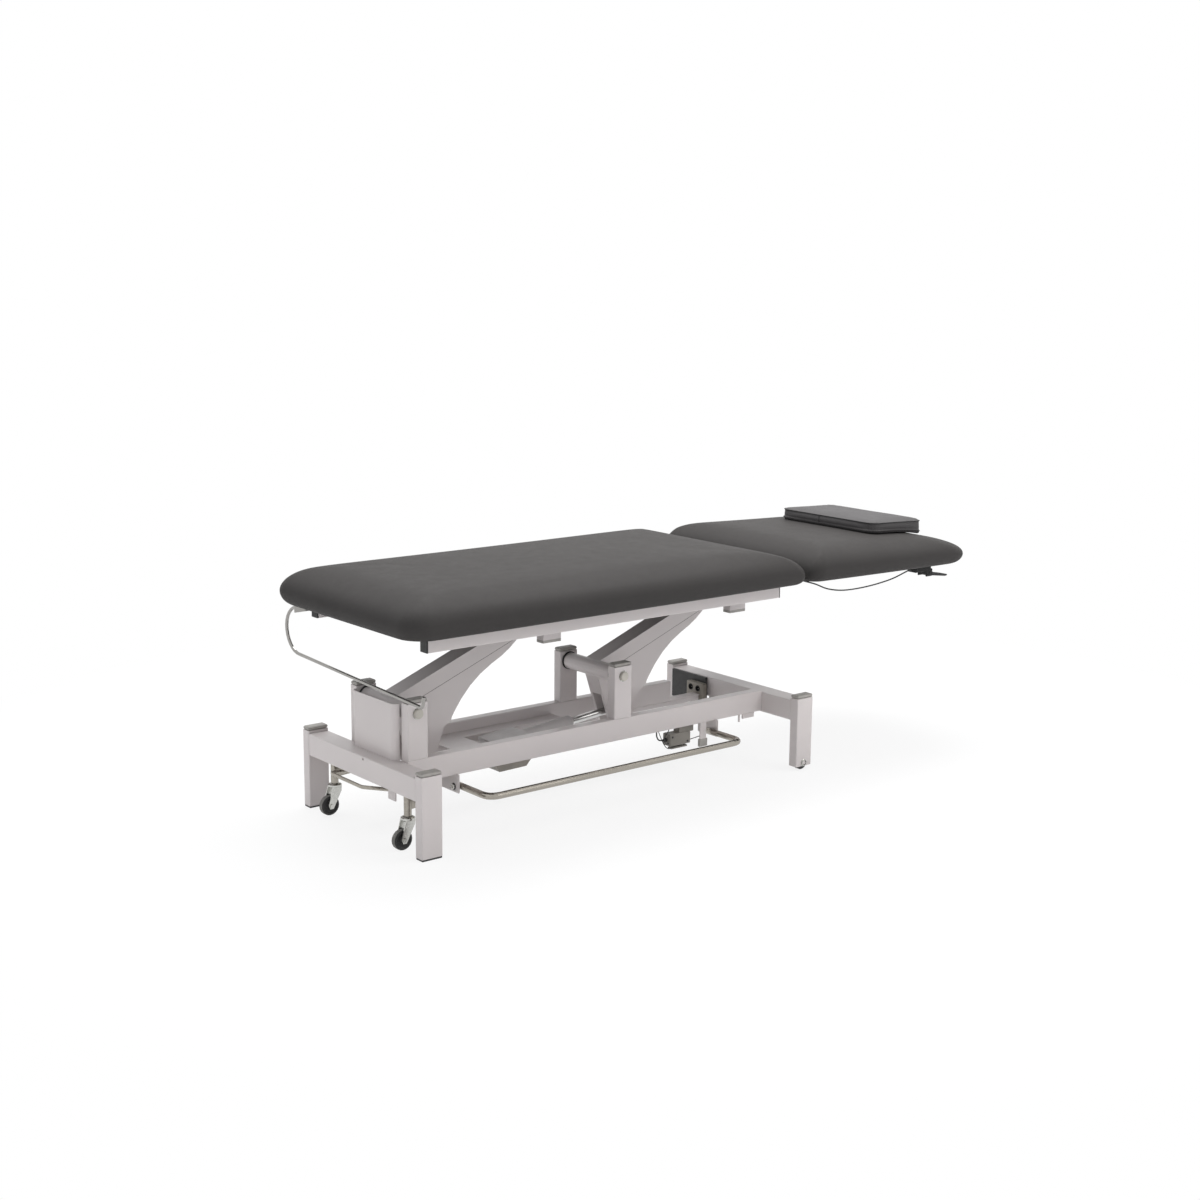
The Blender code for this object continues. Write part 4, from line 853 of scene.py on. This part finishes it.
FOOT_POST_X, PIVOT_Z = 0.0885, 0.328
MID_POST_X = FOOT_POST_X + 0.664
POSTS = (("foot", FOOT_POST_X), ("mid", MID_POST_X))
POST_OUT, POST_IN = 0.135, 0.105
ARM_DX, ARM_DZ = 0.4205, 0.162
BAR_PIVOT = (-0.128, 0.118)
BAR_EAR_X = (0.200, 1.091)

cream_plastic = moulded("cream_moulded_plastic", (0.480, 0.455, 0.405), 1300.0, (0.34, 0.5), 0.14)

# Cover caps, washers and bushes at the lower pivots of the two arms
for end, x in POSTS:
    body = end + "_arm"
    for side, sign in SIDES:
        out = (0, sign, 0)
        washer("pivot_washer_%s_%s" % (end, side), at(x, sign * (POST_OUT + 0.00015), PIVOT_Z),
               out, 0.0088, 0.0152, 0.0007, zinc, body)
        lathe("pivot_cap_%s_%s" % (end, side),
              [(0.0063, 0.0), (0.0060, 0.0060), (0.0050, 0.0109), (0.0, 0.0109), (0.0, 0.0130),
               (0.0040, 0.0130), (0.0062, 0.0118), (0.0076, 0.0085), (0.0082, 0.0045),
               (0.0083, 0.0)],
              at(x, sign * (POST_OUT + 0.0012), PIVOT_Z), out, cream_plastic, body, 36)
        lathe("pivot_bush_%s_%s" % (end, side),
              [(0.0, 0.0232), (0.0, 0.0246), (0.0012, 0.0254), (0.0048, 0.0254),
               (0.0052, 0.0250), (0.0052, 0.0232)],
              at(x, sign * (POST_IN - 0.0066), PIVOT_Z), out, black_plastic, body, 44, True)

# Painted shadow: a fine dark line along the joint between an arm's tube and its gusset, where the
# small step between them lies in shade
LINE_START, LINE_RUN, LINE_STEPS, LINE_FADE = 0.020, 0.385, 24, 0.0006
reach = math.hypot(ARM_DX, ARM_DZ)
ux, uz = ARM_DX / reach, ARM_DZ / reach
for end, x in POSTS:
    for side, sign in SIDES:
        rows = []
        for k in range(LINE_STEPS + 1):
            s = LINE_START + LINE_RUN * k / LINE_STEPS
            fade = LINE_FADE * min(1.0, k / 2, (LINE_STEPS - k) / 2)
            section = ((-0.0201, 0.02865), (-0.0201, 0.02925),
                       (-0.0212 - fade, 0.02875), (-0.0214 - fade, 0.02865))
            rows.append([at(x + ux * s - uz * h, sign * y, PIVOT_Z + uz * s + ux * h)
                         for h, y in section])
        bar("arm_seam_shadow_%s_%s" % (end, side), rows, arm_shadow_line_look, end + "_arm", 40)

# Nuts and washers on the head rollers' bolts and on the foot bar's pins
for side, sign in SIDES:
    face = at(HEAD_LEG_X + 0.030, sign * (0.284 + 0.0002), 0.022)
    washer("roller_washer_" + side, face, (0, sign, 0), 0.0070, 0.0108, 0.0009, zinc, "base")
    nut("roller_nut_" + side, face + Vector((0, sign * 0.0010, 0)), (0, sign, 0), 0.0170, 0.0070,
        0.0030, zinc, "base")
for n, (x, sign) in enumerate(((BAR_EAR_X[0] - 0.0003, -1), (BAR_EAR_X[1] + 0.0063, 1))):
    face = at(x, *BAR_PIVOT)
    washer("bar_washer_%d" % n, face, (sign, 0, 0), 0.0043, 0.0092, 0.0009, black_coat,
           "foot_bar")
    nut("bar_nut_%d" % n, face + Vector((sign * 0.0010, 0, 0)), (sign, 0, 0), 0.0125, 0.0043,
        0.0036, zinc, "foot_bar")

# Sockets of the control box, and the rubber paddle on the foot bar's strap
for n, y in enumerate((POST_IN + 0.007, POST_IN + 0.038)):
    lathe("control_socket_%d" % n,
          [(0.0, 0.0), (0.0, 0.0072), (-0.0075, 0.0076), (-0.0118, 0.0078), (-0.0122, 0.0082),
           (-0.0118, 0.0089), (0.0012, 0.0089), (0.0012, 0.0)],
          at(HEAD_LEG_X - 0.0158, y, 0.170), (1, 0, 0), black_plastic, "base", 28)
    for k in range(3):
        a = math.radians(90 + 120 * k)
        lathe("control_contact_%d_%d" % (n, k), [(0.0, 0.0012), (-0.0060, 0.0011), (-0.0066, 0.0)],
              at(HEAD_LEG_X - 0.0159, y + 0.0038 * math.cos(a), 0.170 + 0.0038 * math.sin(a)),
              (1, 0, 0), zinc, "base", 12)
sleeve("strap_paddle", (1.0375, 1.0665, -0.1350, -0.1270), (1.0397, 1.0643, -0.1333, -0.1287),
       (0.0800, 0.1020), grey_plastic, "base")

# Folded lips under the rear beam and the head cross beam close the tray's far edges
LIP_DROP, LIP_OUT, LIP_SHEET, LIP_FOLD = 0.0119, 0.0060, 0.0015, 0.0013


def lip(name, ends, top, place):
    """A folded angle along ends; place(along, out, z) gives its points."""
    rows = []
    for along, cut in ((ends[0], LIP_SHEET), (ends[0] + LIP_SHEET, 0.0),
                       (ends[1] - LIP_SHEET, 0.0), (ends[1], LIP_SHEET)):
        low = top - LIP_DROP + cut
        section = ((0.0, low), (LIP_SHEET, low), (LIP_SHEET, top - LIP_FOLD),
                   (LIP_OUT, top - LIP_FOLD), (LIP_OUT, top), (0.0, top))
        rows.append([place(along, out, z) for out, z in section])
    bar(name, rows, white_paint, "base", 30)


lip("tray_lip", (0.292, 1.2480), 0.1487, lambda x, out, z: at(x, 0.1060 + out, z))
lip("head_lip", (-0.1030, 0.0917), 0.1457, lambda y, out, z: at(1.2782 + out, y, z))

# Details of the foot bar's switch: gland, screws, link and two thin wires
lathe("switch_gland", [(-0.0002, 0.0021), (-0.0002, 0.0062), (-0.0050, 0.0060), (-0.0056, 0.0046),
                       (-0.0110, 0.0036), (-0.0116, 0.0021)],
      at(0.930, -0.112, 0.114), (1, 0, 0), black_plastic, "base", 24, True)
for n, (x, z) in enumerate(((0.9385, 0.1235), (0.9945, 0.1050))):
    lathe("switch_screw_%d" % n, [(0.0001, 0.0), (0.0001, 0.0013), (0.0009, 0.0015),
                                  (0.0012, 0.0024), (0.0006, 0.0031), (-0.0001, 0.0031)],
          at(x, -0.131, z), (0, -1, 0), black_coat, "base", 20)
link = [at(1.0062, -0.1150, 0.1010), at(1.0130, -0.1165, 0.1020), at(1.0260, -0.1205, 0.1050),
        at(1.0390, -0.1250, 0.1085), at(1.0460, -0.1275, 0.1100)]
tube_curve("switch_link", smooth_path(link, 18), 0.0012, black_coat, "base")
for n, route in enumerate((
        [(0.9418, -0.1180, 0.0885), (0.9360, -0.1180, 0.0885), (0.9240, -0.1190, 0.0950),
         (0.9110, -0.1205, 0.1120), (0.9010, -0.1215, 0.1300), (0.8950, -0.1220, 0.1420),
         (0.8930, -0.1220, 0.1486)],
        [(0.9296, -0.1240, 0.1060), (0.9240, -0.1240, 0.1060), (0.9165, -0.1235, 0.1110),
         (0.9160, -0.1225, 0.1220), (0.9230, -0.1220, 0.1330), (0.9300, -0.1220, 0.1420),
         (0.9320, -0.1220, 0.1486)])):
    points = smooth_path([at(*p) for p in route], 48)
    wire = tube_curve("switch_wire_%d" % n, points, 0.0011, sheath, "base")


# Floor, light and background
FLOOR_SIZE, FLOOR_DROP = 14.0, 0.0004


def seen_directly(tree):
    """1 for rays from the camera, off a mirror or through glass, else 0."""
    paths = tree.nodes.new("ShaderNodeLightPath")
    seen = paths.outputs["Is Camera Ray"]
    for kind in ("Is Glossy Ray", "Is Transmission Ray"):
        either = tree.nodes.new("ShaderNodeMath")
        either.operation = "MAXIMUM"
        tree.links.new(seen, either.inputs[0])
        tree.links.new(paths.outputs[kind], either.inputs[1])
        seen = either.outputs[0]
    return seen


def blend(tree, share, first, second, end):
    """Joins two shaders, by the share of the second, into the tree's output."""
    both = tree.nodes.new("ShaderNodeMixShader")
    for place, socket in enumerate((share, first.outputs[0], second.outputs[0])):
        tree.links.new(socket, both.inputs[place])
    tree.links.new(both.outputs[0], end.inputs["Surface"])


# The floor is white where it is seen, and keeps a part of the shadow near the table
floor_look = bpy.data.materials.new("pale_floor")
floor_look.use_nodes = True
tree = floor_look.node_tree
tree.nodes.clear()
matt = tree.nodes.new("ShaderNodeBsdfDiffuse")
matt.inputs["Color"].default_value = (0.86, 0.86, 0.86, 1.0)
bright = tree.nodes.new("ShaderNodeEmission")
bright.inputs["Strength"].default_value = 1.0
spot = tree.nodes.new("ShaderNodeTexCoord")
away = tree.nodes.new("ShaderNodeVectorMath")
away.operation = "LENGTH"
tree.links.new(spot.outputs["Object"], away.inputs[0])
fade = tree.nodes.new("ShaderNodeMapRange")
for key, value in (("From Min", 0.9), ("From Max", 2.2), ("To Min", 0.84), ("To Max", 1.0)):
    fade.inputs[key].default_value = value
tree.links.new(away.outputs["Value"], fade.inputs["Value"])
share = tree.nodes.new("ShaderNodeMath")
share.operation = "MULTIPLY"
tree.links.new(seen_directly(tree), share.inputs[0])
tree.links.new(fade.outputs[0], share.inputs[1])
blend(tree, share.outputs[0], matt, bright, tree.nodes.new("ShaderNodeOutputMaterial"))
bm = bmesh.new()
bmesh.ops.create_grid(bm, x_segments=4, y_segments=4, size=FLOOR_SIZE)
bmesh.ops.translate(bm, verts=bm.verts, vec=(0, 0, -FLOOR_DROP))
floor = piece("floor", bm, floor_look, None)

world = bpy.data.worlds.new("studio")
scene.world = world
world.use_nodes = True
tree = world.node_tree
sky = tree.nodes["Background"]
sky.inputs["Color"].default_value = (0.97, 0.98, 1.0, 1.0)
sky.inputs["Strength"].default_value = 0.72
plain = tree.nodes.new("ShaderNodeBackground")
plain.inputs["Color"].default_value = (1.0, 1.0, 1.0, 1.0)
plain.inputs["Strength"].default_value = 1.0
blend(tree, seen_directly(tree), sky, plain, tree.nodes["World Output"])


def lamp(name, place, aim, size, power, colour=(1.0, 1.0, 1.0)):
    """An oblong area lamp that points at aim."""
    data = bpy.data.lights.new(name, "AREA")
    data.shape = "RECTANGLE"
    data.size, data.size_y = size
    data.energy = power
    data.color = colour
    obj = bpy.data.objects.new(name, data)
    obj.location = place
    obj.rotation_euler = (Vector(aim) - Vector(place)).to_track_quat("-Z", "Y").to_euler()
    scene.collection.objects.link(obj)


lamp("key_lamp", (2.0, -2.5, 3.2), (0.0, 0.0, 0.4), (2.6, 1.8), 56.0, (1.0, 0.985, 0.97))
lamp("top_lamp", (0.5, 0.9, 3.6), (0.1, 0.1, 0.5), (3.2, 2.0), 142.0)
lamp("foot_lamp", (-3.6, -0.8, 1.8), (-0.4, 0.0, 0.4), (2.0, 1.6), 3.0, (0.97, 0.985, 1.0))

scene.view_settings.view_transform = "Standard"
